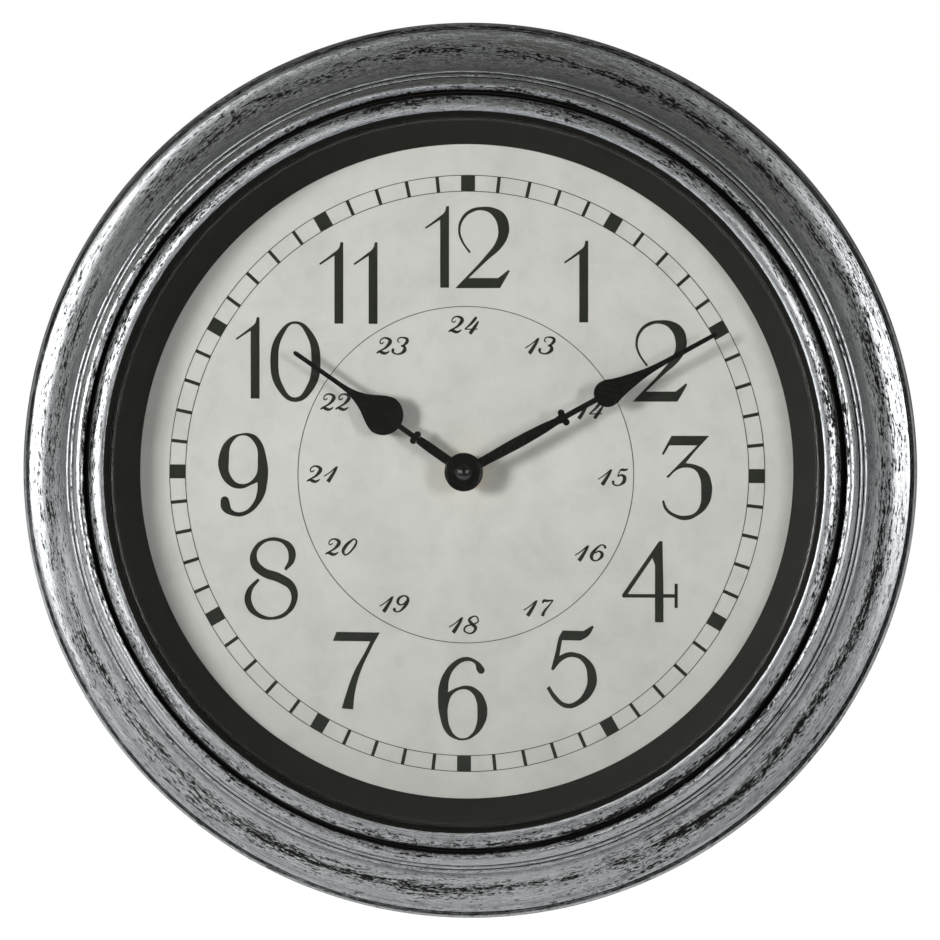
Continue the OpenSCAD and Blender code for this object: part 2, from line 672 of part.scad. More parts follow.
// Train: rotor, intermediate, seconds, third and centre wheel
module rotor() {
    color([0.35, 0.36, 0.4]) bench() at(rotor_at) {
        rod(arbor_u, arbor_end_u, arbor_r);
        level(train_level(3) - pinion_lap, train_level(3) + wheel_t + pinion_lap) difference() {
            pinion_outline(rotor_cd, rotor_teeth, interm_teeth, rotor_dir + 180);
            arbor_hole(arbor_r);
        }
        level(stator_u - magnet_len / 3, stator_u + magnet_len * 2 / 3) difference() {
            circle(r = rotor_magnet_r);
            circle(r = arbor_r + fit_gap);
        }
    }
}
module intermediate_wheel() {
    color([0.86, 0.84, 0.78]) bench() at(interm_at) {
        rod(arbor_u, arbor_end_u, arbor_r);
        level(train_level(2) - pinion_lap, train_level(2) + wheel_t + pinion_lap) difference() {
            pinion_outline(interm_cd, interm_pinion_teeth, seconds_teeth, interm_dir + 180);
            arbor_hole(arbor_r);
        }
        level(train_level(3), train_level(3) + wheel_t) difference() {
            wheel_outline(rotor_cd, interm_teeth, rotor_teeth, rotor_dir + 180);
            arbor_hole(arbor_r);
            windows(rotor_cd, interm_teeth, rotor_teeth);
        }
    }
}
seconds_arbor_lap = 2;   // seconds arbor inside the minute pipe
module seconds_wheel() {
    color([0.9, 0.88, 0.8]) bench() {
        rod(mid_u - seconds_arbor_lap, arbor_end_u, arbor_r);
        level(train_level(1) - pinion_lap, train_level(1) + wheel_t + pinion_lap) difference() {
            pinion_outline(third_cd, seconds_pinion_teeth, third_teeth, third_dir);
            arbor_hole(arbor_r);
        }
        level(train_level(2), train_level(2) + wheel_t) difference() {
            wheel_outline(interm_cd, seconds_teeth, interm_pinion_teeth, interm_dir + 180);
            arbor_hole(arbor_r);
            windows(interm_cd, seconds_teeth, interm_pinion_teeth);
        }
    }
}
module third_wheel() {
    color([0.82, 0.8, 0.74]) bench() at(third_at) {
        rod(arbor_u, arbor_end_u, arbor_r);
        level(train_level(0) - pinion_lap, train_level(0) + wheel_t + pinion_lap) difference() {
            pinion_outline(third_cd, third_pinion_teeth, center_teeth, third_dir + 180);
            arbor_hole(arbor_r);
        }
        level(train_level(1), train_level(1) + wheel_t) difference() {
            wheel_outline(third_cd, third_teeth, seconds_pinion_teeth, third_dir);
            arbor_hole(arbor_r);
            windows(third_cd, third_teeth, seconds_pinion_teeth);
        }
    }
}
module center_wheel() {
    color([0.78, 0.76, 0.7]) bench() level(train_level(0), train_level(0) + wheel_t) difference() {
        wheel_outline(third_cd, center_teeth, third_pinion_teeth, third_dir + 180);
        circle(r = pipe_r + run_gap);
        windows(third_cd, center_teeth, third_pinion_teeth, 2 * pipe_r);
    }
}

// Motion work: the cannon pinion drives the minute wheel, whose pinion drives the hour wheel
pipe_proud = 0.4;        // hour pipe above its hand
hour_pipe_top_z = hour_hand_z + hand_t + pipe_proud;
pipe_top_z = cap_z + cap_t * 0.4;
module minute_pipe() {
    color([0.8, 0.65, 0.32]) bench() {
        up(mov_z - train_level(0) - wheel_t - strip_gap) ring(pipe_r, pipe_bore_r,
            pipe_top_z - mov_z + train_level(0) + wheel_t + strip_gap);
        level(minute_u - pinion_lap / 2, minute_u + wheel_t + pinion_lap / 2) difference() {
            pinion_outline(motion_cd, cannon_teeth, minute_wheel_teeth, minute_dir);
            arbor_hole(pipe_r);
        }
    }
}
module minute_wheel() {
    color([0.85, 0.82, 0.74]) bench() at(minute_at) {
        rod(case_t + free_gap / 3, knob_well_u + free_gap / 2, knob_arbor_r);
        level(hour_u - free_gap / 3, minute_u) difference() {
            pinion_outline(motion_cd, minute_pinion_teeth, hour_teeth, minute_dir + 180);
            arbor_hole(knob_arbor_r);
        }
        level(minute_u, minute_u + wheel_t) difference() {
            wheel_outline(motion_cd, minute_wheel_teeth, cannon_teeth, minute_dir);
            arbor_hole(knob_arbor_r);
        }
    }
}
knob_flutes = 24;
module set_knob() {
    knob_u = knob_well_u + free_gap / 2;
    color([0.12, 0.12, 0.12]) bench() at(minute_at) level(knob_u, knob_u + knob_t) difference() {
        circle(r = knob_r);
        for (i = [0 : knob_flutes - 1]) rotate(360 * i / knob_flutes) translate([knob_r, 0])
            circle(r = knob_r / knob_flutes, $fn = 12);
    }
}
module hour_wheel() {
    color([0.9, 0.87, 0.78]) bench() {
        up(mov_z - hour_u - hour_wheel_t) ring(hour_pipe_r, pipe_r + run_gap,
            hour_pipe_top_z - mov_z + hour_u + hour_wheel_t);
        level(hour_u, hour_u + hour_wheel_t) difference() {
            wheel_outline(motion_cd, hour_teeth, minute_pinion_teeth, minute_dir + 180);
            arbor_hole(hour_pipe_r);
        }
    }
}

// Hands. Half widths are given along the hand as shares of its length
minute_len = dial_r - minute_tip_gap;
hour_len = minute_len - hand_step;
function smooth_at(list, i, t) = let (
        n = len(list) - 1,
        p0 = list[max(i - 1, 0)], p1 = list[i], p2 = list[min(i + 1, n)], p3 = list[min(i + 2, n)])
    0.5 * (2 * p1 + (p2 - p0) * t + (2 * p0 - 5 * p1 + 4 * p2 - p3) * t * t
        + (3 * p1 - p0 - 3 * p2 + p3) * t * t * t);
function smooth(list, n) = concat(
    [for (i = [0 : len(list) - 2], k = [0 : n - 1]) smooth_at(list, i, k / n)], [list[len(list) - 1]]);
module blade(length, half_shares, steps) {
    side = smooth(half_shares, steps);
    last = len(side) - 1;
    polygon(concat([for (s = side) [s[1], s[0]] * length],
        [for (i = [0 : last]) [-side[last - i][1], side[last - i][0]] * length]));
}
// [distance from the hand axis, half width]
hour_arm_shares = [[0, 0.0223], [0.135, 0.0225], [0.2, 0.0228], [0.25, 0.0215], [0.28, 0.019],
    [0.31, 0.0155], [0.335, 0.0148], [0.36, 0.0155], [0.5, 0.0155]];
hour_spade_shares = [[0.35, 0.014], [0.372, 0.025], [0.39, 0.046], [0.408, 0.069], [0.426, 0.085],
    [0.446, 0.094], [0.47, 0.0965], [0.497, 0.093], [0.522, 0.083], [0.546, 0.069], [0.577, 0.0495],
    [0.61, 0.0335], [0.65, 0.0205], [0.69, 0.0125], [0.74, 0.0098], [0.86, 0.0094], [1, 0.0082]];
minute_arm_shares = [[0, 0.0155], [0.1, 0.0165], [0.16, 0.0188], [0.21, 0.0198], [0.26, 0.019],
    [0.32, 0.0165], [0.365, 0.0125], [0.392, 0.0108], [0.43, 0.0098], [0.6, 0.0105]];
minute_spade_shares = [[0.505, 0.0105], [0.52, 0.019], [0.534, 0.033], [0.55, 0.0425], [0.57, 0.0468],
    [0.588, 0.0445], [0.605, 0.038], [0.64, 0.0285], [0.68, 0.0205], [0.72, 0.0135], [0.76, 0.0098],
    [0.8, 0.0082], [0.9, 0.008], [1, 0.007]];
hour_bar_share = 0.288;
hour_bar_w = 4.6;
minute_bar_share = 0.392;
minute_bar_w = 5.6;
lobe_r = 0.95;
hub_disc_r = 6.5;
hour_disc_r = 5.4;
module crossbar(y, w) {
    for (x = [-1, 1]) translate([x * (w / 2 - lobe_r), y]) circle(r = lobe_r, $fn = 32);
    translate([0, y]) square([w - 2 * lobe_r, 1.1 * lobe_r], center = true);
}
module hour_hand() {
    color([0.1, 0.1, 0.09]) bench()
        rotate(-hour_angle) up(hour_hand_z) linear_extrude(hand_t) difference() {
        union() {
            circle(r = hour_disc_r);
            blade(hour_len, hour_arm_shares, 3);
            blade(hour_len, hour_spade_shares, 4);
            crossbar(hour_bar_share * hour_len, hour_bar_w);
        }
        circle(r = hour_pipe_r + fit_gap);
    }
}
collet_wall = 0.9;
hub_share = 0.9;         // root of the minute hand under its hub disc
module hour_collet() {
    color([0.7, 0.6, 0.35]) bench() up(mov_z + bush_len + free_gap)
        ring(hour_pipe_r + fit_gap + collet_wall, hour_pipe_r + fit_gap, hub_gap - free_gap);
}
module minute_hand() {
    color([0.1, 0.1, 0.09]) bench()
        rotate(-minute_angle) up(minute_hand_z) linear_extrude(hand_t) difference() {
        union() {
            circle(r = hub_share * hub_disc_r);
            blade(minute_len, minute_arm_shares, 3);
            blade(minute_len, minute_spade_shares, 4);
            crossbar(minute_bar_share * minute_len, minute_bar_w);
        }
        circle(r = pipe_r + fit_gap);
    }
}
dish_shares = [[1, 0], [1, 0.55], [0.97, 0.75], [0.93, 0.8], [0.89, 0.72], [0.86, 0.55],
    [0.74, 0.62], [0.6, 0.8], [0.48, 0.95], [0.44, 1]];
module minute_collet() {
    color([0.12, 0.12, 0.11]) bench() up(minute_hand_z + hand_t) difference() {
        rotate_extrude() polygon(concat([[0, 0]],
            [for (s = dish_shares) [s[0] * hub_disc_r, s[1] * minute_hub_t]], [[0, minute_hub_t]]));
        up(-cut) cylinder(r = pipe_r + fit_gap, h = minute_hub_t + 2 * cut);
    }
}
cap_r = 2.7;
module cap_nut() {
    color([0.16, 0.16, 0.14]) bench() up(cap_z) difference() {
        rotate_extrude() polygon(concat([[0, 0], [cap_r, 0]],
            [for (i = [0 : 8]) [cap_r * cos(90 * i / 8), cap_t + cap_dome_h * sin(90 * i / 8)]]));
        up(-cut) cylinder(r = pipe_r + fit_gap, h = cut + cap_t * 0.6);
    }
}

frame_ring();
lens();
inner_bezel();
dial_paper();
back_plate();
plate_screws();
hanger_plate();
hanger_screws();
movement_front_case();
movement_back_case();
middle_plate();
center_bush();
hex_nut();
nut_washer();
rubber_washer();
stator();
coil_bobbin();
coil_winding();
circuit_board();
quartz_crystal();
battery_contact_pos();
battery_contact_neg();
battery();
rotor();
intermediate_wheel();
seconds_wheel();
third_wheel();
center_wheel();
minute_pipe();
minute_wheel();
set_knob();
hour_wheel();
hour_hand();
hour_collet();
minute_hand();
minute_collet();
cap_nut();
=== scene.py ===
import bpy, bmesh, math
from mathutils import Vector, Matrix


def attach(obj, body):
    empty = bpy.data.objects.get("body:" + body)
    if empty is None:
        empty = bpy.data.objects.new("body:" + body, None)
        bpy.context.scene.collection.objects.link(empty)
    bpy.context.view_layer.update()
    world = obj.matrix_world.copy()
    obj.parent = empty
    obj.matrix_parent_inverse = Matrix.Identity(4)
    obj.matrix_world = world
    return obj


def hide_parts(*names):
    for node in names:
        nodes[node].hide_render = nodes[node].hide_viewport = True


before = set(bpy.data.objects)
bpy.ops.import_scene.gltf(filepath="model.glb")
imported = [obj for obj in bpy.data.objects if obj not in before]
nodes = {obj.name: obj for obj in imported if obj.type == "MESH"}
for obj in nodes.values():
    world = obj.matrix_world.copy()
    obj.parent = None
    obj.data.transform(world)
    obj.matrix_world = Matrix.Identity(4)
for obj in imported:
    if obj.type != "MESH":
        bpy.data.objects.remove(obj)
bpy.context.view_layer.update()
mm = 0.001
clockDepth = 36.6                    # wall to the crown of the frame
print("frame loaded:", len(nodes), "nodes")


# Places: x to the right, up, and height above the wall, all in mm
def place(x, up, height):
    return Vector((x, clockDepth / 2 - height, up)) * mm


def arc(cx, cy, radius, start, stop, steps):
    turn = [math.radians(start + (stop - start) * i / steps) for i in range(steps + 1)]
    return [(cx + radius * math.cos(t), cy + radius * math.sin(t)) for t in turn]


# Node helpers
def put(tree, kind, inputs=None, **settings):
    node = tree.nodes.new(kind)
    for key, value in settings.items():
        setattr(node, key, value)
    for key, value in (inputs or {}).items():
        socket = node.inputs[key]
        if isinstance(value, bpy.types.NodeSocket):
            tree.links.new(value, socket)
        else:
            socket.default_value = value
    return node


def maths(tree, operation, *values):
    return put(tree, "ShaderNodeMath", dict(enumerate(values)), operation=operation).outputs[0]


def span(tree, value, low, high, first=0.0, last=1.0):     # low to high becomes first to last, held past both
    return put(tree, "ShaderNodeMapRange", {"Value": value, "From Min": low, "From Max": high,
               "To Min": first, "To Max": last}).outputs[0]


def ramp(tree, factor, stops):
    node = put(tree, "ShaderNodeValToRGB", {"Fac": factor})
    bar = node.color_ramp.elements
    while len(bar) < len(stops):
        bar.new(0.5)
    for element, (position, value) in zip(bar, stops):
        element.position = position
        element.color = (*value, 1) if isinstance(value, tuple) else (value, value, value, 1)
    return node.outputs["Color"]


noiseLow, noiseHigh = 0.3, 0.7       # most of a noise lies between these


def between(tree, factor, first, last):
    return ramp(tree, factor, [(noiseLow, first), (noiseHigh, last)])


def noise(tree, vector, scale, detail=3.0, roughness=0.55, distortion=0.0):
    return put(tree, "ShaderNodeTexNoise", {"Vector": vector, "Scale": scale, "Detail": detail,
               "Roughness": roughness, "Distortion": distortion}).outputs["Fac"]


def mix(tree, factor, a, b):
    return put(tree, "ShaderNodeMix", {0: factor, 6: a, 7: b}, data_type="RGBA").outputs[2]


def mixValue(tree, factor, a, b):
    return put(tree, "ShaderNodeMix", {0: factor, 2: a, 3: b}, data_type="FLOAT").outputs[0]


def bump(tree, height, strength, distance=0.0002):
    return put(tree, "ShaderNodeBump", {"Height": height, "Strength": strength,
               "Distance": distance}).outputs[0]


def newFinish(name):
    finish = bpy.data.materials.new(name)
    finish.use_nodes = True
    tree = finish.node_tree
    where = put(tree, "ShaderNodeTexCoord").outputs["Object"]
    return finish, tree, tree.nodes["Principled BSDF"], where


def shade(rgb):                      # colour as seen on screen, 0 to 255, made linear
    return tuple((c / 255 / 12.92) if c < 10.3 else ((c / 255 + 0.055) / 1.055) ** 2.4 for c in rgb) + (1,)


# Moulded or machined pieces: a base colour that drifts a little, with a fine grain in gloss and height
def grainFinish(name, rgb, drift=0.12, metallic=0.0, rough=(0.35, 0.5), grain=1.2, height=0.15, patch=0.09,
                stretch=(1, 1, 1), gloss=0.5):
    finish, tree, shader, where = newFinish(name)
    spot = put(tree, "ShaderNodeMapping", {"Vector": where, "Scale": stretch}).outputs[0]
    broad = noise(tree, spot, patch / mm)
    fine = noise(tree, spot, grain / mm, detail=2.0)
    base = Vector(shade(rgb)[:3])
    shader.inputs["Metallic"].default_value = metallic
    shader.inputs["Specular IOR Level"].default_value = gloss
    tone = between(tree, broad, tuple(base * (1 - drift)), tuple(base * (1 + drift)))
    tree.links.new(tone, shader.inputs["Base Color"])
    tree.links.new(between(tree, fine, *rough), shader.inputs["Roughness"])
    tree.links.new(bump(tree, fine, height), shader.inputs["Normal"])
    return finish


# Frame: black ground, silver dry-brushed round the ring. "cover" is how much silver a moulding took.
# A kind of stroke is (scale per radian, scale per mm, detail, roughness, wave, shift)
silverLook = {
    "dashes": (26, 1.2, 4.0, 0.62, 0.5, 3.0), "hairs": (22, 3.5, 2.0, 0.6, 0.3, 11.0),
    "specks": (90, 1.9, 3.0, 0.6, 0.5, 17.0), "cloud": (3.0, 0.2, 2.0, 0.5, 0.0, 29.0),
    "hairWear": 0.35, "dashWear": 0.65, "cloudWear": 0.4, "coverGain": 0.5, "coverBase": 0.69,
    "edge": (-0.06, 0.07), "dark": (0.405, 0.42, 0.43), "bright": (0.845, 0.865, 0.885),
    "ground": (0.006, 0.006, 0.005, 1), "gloss": 0.12, "groundRough": 0.5, "rough": (0.22, 0.34),
    "bump": 0.12, "bumpDepth": 0.0003}


def brushedSilver(s):
    finish, tree, shader, where = newFinish("brushedSilver")
    axes = put(tree, "ShaderNodeSeparateXYZ", {0: where}).outputs
    flat = put(tree, "ShaderNodeCombineXYZ", {0: axes[0], 2: axes[2]}).outputs[0]
    around = put(tree, "ShaderNodeVectorMath", {0: flat}, operation="NORMALIZE").outputs[0]
    across = put(tree, "ShaderNodeAttribute", attribute_name="across").outputs["Fac"]
    cover = put(tree, "ShaderNodeAttribute", attribute_name="cover").outputs["Fac"]

    def strokes(perRadian, perMm, detail, rough, wave, shift):
        turn = put(tree, "ShaderNodeVectorMath", {0: around, "Scale": perRadian},
                   operation="SCALE").outputs[0]
        depth = maths(tree, "MULTIPLY_ADD", across, perMm, shift)
        side = put(tree, "ShaderNodeCombineXYZ", {1: depth}).outputs[0]
        spot = put(tree, "ShaderNodeVectorMath", {0: turn, 1: side}, operation="ADD").outputs[0]
        return noise(tree, spot, 1.0, detail, rough, wave)

    dashes, hairs, specks, cloud = [strokes(*s[kind]) for kind in ("dashes", "hairs", "specks", "cloud")]
    worn = maths(tree, "MULTIPLY", maths(tree, "ADD", dashes, specks), s["dashWear"])
    worn = maths(tree, "MULTIPLY_ADD", hairs, s["hairWear"], worn)
    worn = maths(tree, "ADD", worn, maths(tree, "MULTIPLY", cloud, s["cloudWear"]))
    limit = maths(tree, "MULTIPLY_ADD", cover, s["coverGain"], s["coverBase"])
    silver = span(tree, maths(tree, "SUBTRACT", limit, worn), *s["edge"])
    tone = between(tree, hairs, s["dark"], s["bright"])
    rough = mixValue(tree, silver, s["groundRough"], mixValue(tree, hairs, *s["rough"]))
    tree.links.new(mix(tree, silver, s["ground"], tone), shader.inputs["Base Color"])
    tree.links.new(silver, shader.inputs["Metallic"])
    shader.inputs["Specular IOR Level"].default_value = s["gloss"]
    tree.links.new(rough, shader.inputs["Roughness"])
    tree.links.new(bump(tree, worn, s["bump"], s["bumpDepth"]), shader.inputs["Normal"])
    return finish


# Dial paper: smudges, stains and fibres, each a noise, and a darker lower half, which is painted shade for
# light that falls from above
paperLook = {
    "smudges": (45.0, 4.0, 0.6, 0.4), "stains": (130.0, 4.0, 0.6), "fibres": (900.0, 3.0),
    "tones": [(0.3, (0.590, 0.592, 0.553)), (0.5, (0.642, 0.645, 0.604)), (0.7, (0.680, 0.682, 0.640))],
    # lowEnd and lowShade set the painted shade: the paper darkens from its middle down to lowEnd
    "stain": [(0.52, 1.0), (0.68, 0.95)], "fleck": (0.97, 1.0), "lowEnd": -0.1, "lowShade": 0.86,
    "rough": 0.62, "bump": 0.08}


def paperFinish(s):
    finish, tree, shader, where = newFinish("dialPaper")
    tone = ramp(tree, noise(tree, where, *s["smudges"]), s["tones"])
    fibre = noise(tree, where, *s["fibres"])
    fleck = between(tree, fibre, *s["fleck"])
    up = put(tree, "ShaderNodeSeparateXYZ", {0: where}).outputs[2]
    # painted shade: the paper is darker towards its lower edge, as if lit from above
    paintedLowShade = span(tree, up, s["lowEnd"], 0.0, s["lowShade"])
    stain = ramp(tree, noise(tree, where, *s["stains"]), s["stain"])
    # marks are the real stains and fibre flecks together with the painted lower shade
    marks = maths(tree, "MULTIPLY", maths(tree, "MULTIPLY", paintedLowShade, stain), fleck)
    marked = put(tree, "ShaderNodeMix", {0: 1.0, 6: tone, 7: marks}, data_type="RGBA", blend_type="MULTIPLY")
    tree.links.new(marked.outputs[2], shader.inputs["Base Color"])
    shader.inputs["Roughness"].default_value = s["rough"]
    tree.links.new(bump(tree, fibre, s["bump"]), shader.inputs["Normal"])
    return finish


# Glass: shadows and scattered light go straight through, so that the dial behind it is lit
glassLook = {"index": 1.45, "grain": 300.0, "haze": [(0.3, 0.0), (0.8, 0.02)],
             "clear": (0.975, 0.975, 0.97, 1)}


def glassFinish(s):
    finish, tree, shader, where = newFinish("clearGlass")
    shader.inputs["Base Color"].default_value = (1, 1, 1, 1)
    shader.inputs["Transmission Weight"].default_value = 1.0
    shader.inputs["IOR"].default_value = s["index"]
    tree.links.new(ramp(tree, noise(tree, where, s["grain"]), s["haze"]), shader.inputs["Roughness"])
    path = put(tree, "ShaderNodeLightPath").outputs
    passes = maths(tree, "MAXIMUM", path["Is Shadow Ray"], path["Is Diffuse Ray"])
    clear = put(tree, "ShaderNodeBsdfTransparent", {"Color": s["clear"]}).outputs[0]
    both = put(tree, "ShaderNodeMixShader", {0: passes, 1: shader.outputs[0], 2: clear}).outputs[0]
    tree.links.new(both, tree.nodes["Material Output"].inputs["Surface"])
    return finish


# The bezel's rounded shoulder is polished, its funnel dull
def shoulderGloss(finish, rough=0.22, gloss=0.5):
    tree = finish.node_tree
    shader = tree.nodes["Principled BSDF"]
    edge = put(tree, "ShaderNodeAttribute", attribute_name="cover").outputs["Fac"]
    dullRough = shader.inputs["Roughness"].links[0].from_socket
    dullGloss = shader.inputs["Specular IOR Level"].default_value
    tree.links.new(mixValue(tree, edge, dullRough, rough), shader.inputs["Roughness"])
    tree.links.new(mixValue(tree, edge, dullGloss, gloss), shader.inputs["Specular IOR Level"])


silverPaint = brushedSilver(silverLook)
paper = paperFinish(paperLook)
glass = glassFinish(glassLook)
ink = grainFinish("dialInk", (42, 44, 38), drift=0.15, rough=(0.75, 0.85), grain=2.5, height=0.05, gloss=0.12)
bezelBlack = grainFinish("bezelBlack", (33, 33, 29), drift=0.1, rough=(0.55, 0.65), grain=2.0, height=0.05,
                         gloss=0.08)
handBlack = grainFinish("handBlack", (14, 15, 11), drift=0.1, rough=(0.24, 0.3), grain=1.5, height=0.01,
                        gloss=0.12)
hubBlack = grainFinish("hubBlack", (15, 15, 12), drift=0.1, rough=(0.14, 0.2), grain=0.6, height=0.003,
                       gloss=0.18)
shoulderGloss(bezelBlack)
capBlack = grainFinish("capBlack", (18, 18, 16), drift=0.1, rough=(0.08, 0.13), grain=0.6, height=0.002)
frameBlack = grainFinish("frameBlack", (27, 27, 26), rough=(0.45, 0.6), grain=3.0, height=0.2)
caseBlack = grainFinish("caseBlack", (36, 36, 37), drift=0.15, rough=(0.45, 0.62), grain=3.0, height=0.25)
movementBlack = grainFinish("movementBlack", (42, 42, 44), rough=(0.5, 0.65), grain=4.0, height=0.3)
knobBlack = grainFinish("knobBlack", (28, 28, 29), rough=(0.35, 0.5), grain=2.0, height=0.1)
zincSteel = grainFinish("zincSteel", (196, 198, 200), drift=0.08, metallic=1.0, rough=(0.28, 0.42), grain=0.5,
                        height=0.05)
brightSteel = grainFinish("brightSteel", (205, 205, 208), drift=0.06, metallic=1.0, rough=(0.18, 0.3),
                          grain=0.8, height=0.04)
brass = grainFinish("brass", (214, 176, 98), drift=0.1, metallic=1.0, rough=(0.2, 0.34), grain=0.6,
                    height=0.05)
washerRubber = grainFinish("washerRubber", (26, 26, 26), rough=(0.7, 0.85), grain=2.0, height=0.2)
statorIron = grainFinish("statorIron", (150, 152, 156), drift=0.15, metallic=1.0, rough=(0.4, 0.55),
                         grain=0.6, height=0.1)
bobbinNylon = grainFinish("bobbinNylon", (222, 219, 208), rough=(0.4, 0.5), grain=1.5)
gearNylon = grainFinish("gearNylon", (226, 222, 206), rough=(0.35, 0.48), grain=1.5)
middleNylon = grainFinish("middleNylon", (205, 199, 178), rough=(0.4, 0.55), grain=1.5)
boardGreen = grainFinish("boardGreen", (36, 92, 58), drift=0.3, rough=(0.35, 0.5), grain=0.8, height=0.1,
                         patch=0.5)
crystalCan = grainFinish("crystalCan", (208, 208, 212), metallic=1.0, rough=(0.15, 0.25))
contactNickel = grainFinish("contactNickel", (196, 192, 182), metallic=1.0, rough=(0.22, 0.36), grain=0.8)
magnetGrey = grainFinish("magnetGrey", (92, 94, 100), metallic=0.6, rough=(0.35, 0.5))
copperWire = grainFinish("copperWire", (176, 98, 52), metallic=1.0, rough=(0.25, 0.4), stretch=(6, 1, 1))
cellWrap = grainFinish("cellWrap", (52, 58, 66), rough=(0.25, 0.35), grain=0.6)

nodeFinishes = {
    "lens": glass, "dial_paper": paper, "back_plate": caseBlack, "plate_screws": brightSteel,
    "hanger_plate": zincSteel, "hanger_screws": brightSteel, "movement_front_case": movementBlack,
    "movement_back_case": movementBlack, "middle_plate": middleNylon, "center_bush": brass, "hex_nut": brass,
    "nut_washer": brass, "rubber_washer": washerRubber, "stator": statorIron, "coil_bobbin": bobbinNylon,
    "coil_winding": copperWire, "circuit_board": boardGreen, "quartz_crystal": crystalCan,
    "battery_contact_pos": contactNickel, "battery_contact_neg": contactNickel, "battery": cellWrap,
    "rotor": magnetGrey, "intermediate_wheel": gearNylon, "seconds_wheel": gearNylon,
    "third_wheel": gearNylon, "center_wheel": gearNylon, "minute_pipe": brass, "minute_wheel": gearNylon,
    "set_knob": knobBlack, "hour_wheel": gearNylon, "hour_hand": handBlack, "hour_collet": brass,
    "minute_hand": handBlack,
    "frame_ring": silverPaint, "inner_bezel": bezelBlack, "minute_collet": hubBlack, "cap_nut": hubBlack}
for name, finish in nodeFinishes.items():
    materials = nodes[name].data.materials
    if len(materials):
        for i in range(len(materials)):
            materials[i] = finish
    else:
        materials.append(finish)
print("finishes made:", len(bpy.data.materials))


# Geometry Nodes: a profile turned round the hand axis, and a piece repeated round it
def newTree(name, sizes):
    tree = bpy.data.node_groups.new(name, "GeometryNodeTree")
    tree.interface.new_socket("Geometry", in_out="INPUT", socket_type="NodeSocketGeometry")
    for label, kind in sizes:
        tree.interface.new_socket(label, in_out="INPUT", socket_type="NodeSocket" + kind)
    tree.interface.new_socket("Geometry", in_out="OUTPUT", socket_type="NodeSocketGeometry")
    return tree, put(tree, "NodeGroupInput").outputs


def closeTree(tree, solid, finish):
    real = put(tree, "GeometryNodeRealizeInstances", {0: solid}).outputs[0]
    painted = put(tree, "GeometryNodeSetMaterial", {"Geometry": real, "Material": finish}).outputs[0]
    put(tree, "NodeGroupOutput", {0: painted})


weld = 1e-6                          # metres: points nearer than this are one


def turningTree():
    tree, given = newTree("turnedProfile", [("Turning Radius", "Float"), ("Segments", "Int"),
                                            ("Sharp Angle", "Float"), ("Finish", "Material")])
    section = put(tree, "GeometryNodeMeshToCurve", {"Mesh": given["Geometry"]}).outputs[0]
    path = put(tree, "GeometryNodeCurvePrimitiveCircle", {"Resolution": given["Segments"],
               "Radius": given["Turning Radius"]}).outputs[0]
    swept = put(tree, "GeometryNodeCurveToMesh", {"Curve": path, "Profile Curve": section}).outputs[0]
    upright = put(tree, "GeometryNodeTransform", {"Geometry": swept,
                  "Rotation": (math.pi / 2, 0, 0)}).outputs[0]
    closed = put(tree, "GeometryNodeMergeByDistance", {"Geometry": upright, "Distance": 2 * weld}).outputs[0]
    angle = put(tree, "GeometryNodeInputMeshEdgeAngle").outputs[0]
    sharp = put(tree, "FunctionNodeCompare", {0: angle, 1: given["Sharp Angle"]},
                operation="GREATER_THAN").outputs[0]
    smooth = put(tree, "GeometryNodeSetShadeSmooth", {"Geometry": closed, "Shade Smooth": True}).outputs[0]
    edged = put(tree, "GeometryNodeSetShadeSmooth", {"Geometry": smooth, "Selection": sharp,
                "Shade Smooth": False}, domain="EDGE").outputs[0]
    closeTree(tree, edged, given["Finish"])
    return tree


def repeatTree():
    tree, given = newTree("repeatedRound", [("Count", "Int"), ("First Angle", "Float"),
                                            ("Finish", "Material")])
    spots = put(tree, "GeometryNodePoints", {"Count": given["Count"]}).outputs[0]
    index = put(tree, "GeometryNodeInputIndex").outputs[0]
    step = maths(tree, "DIVIDE", math.tau, given["Count"])
    turn = maths(tree, "MULTIPLY_ADD", index, step, given["First Angle"])
    rotation = put(tree, "ShaderNodeCombineXYZ", {1: turn}).outputs[0]
    copies = put(tree, "GeometryNodeInstanceOnPoints", {"Points": spots, "Instance": given["Geometry"],
                 "Rotation": rotation}).outputs[0]
    closeTree(tree, copies, given["Finish"])
    return tree


turnedProfile = turningTree()
repeatedRound = repeatTree()


def runTree(name, mesh, tree, values):
    source = bpy.data.objects.new(name + "Source", mesh)
    bpy.context.collection.objects.link(source)
    modifier = source.modifiers.new("shape", "NODES")
    modifier.node_group = tree
    for item in tree.interface.items_tree:
        if item.in_out == "INPUT" and item.name in values:
            modifier[item.identifier] = values[item.name]
    bpy.context.view_layer.update()
    view = bpy.context.evaluated_depsgraph_get()
    result = bpy.data.meshes.new_from_object(source.evaluated_get(view), depsgraph=view)
    bpy.data.objects.remove(source)
    result.name = name
    return result


def outward(mesh):
    shell = bmesh.new()
    shell.from_mesh(mesh)
    bmesh.ops.remove_doubles(shell, verts=shell.verts, dist=weld)
    bmesh.ops.recalc_face_normals(shell, faces=shell.faces)
    shell.to_mesh(mesh)
    shell.free()
    return mesh


def addPiece(name, mesh, body, replaced=()):
    piece = bpy.data.objects.new(name, mesh)
    bpy.context.collection.objects.link(piece)
    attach(piece, body)
    if replaced:
        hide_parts(*replaced)


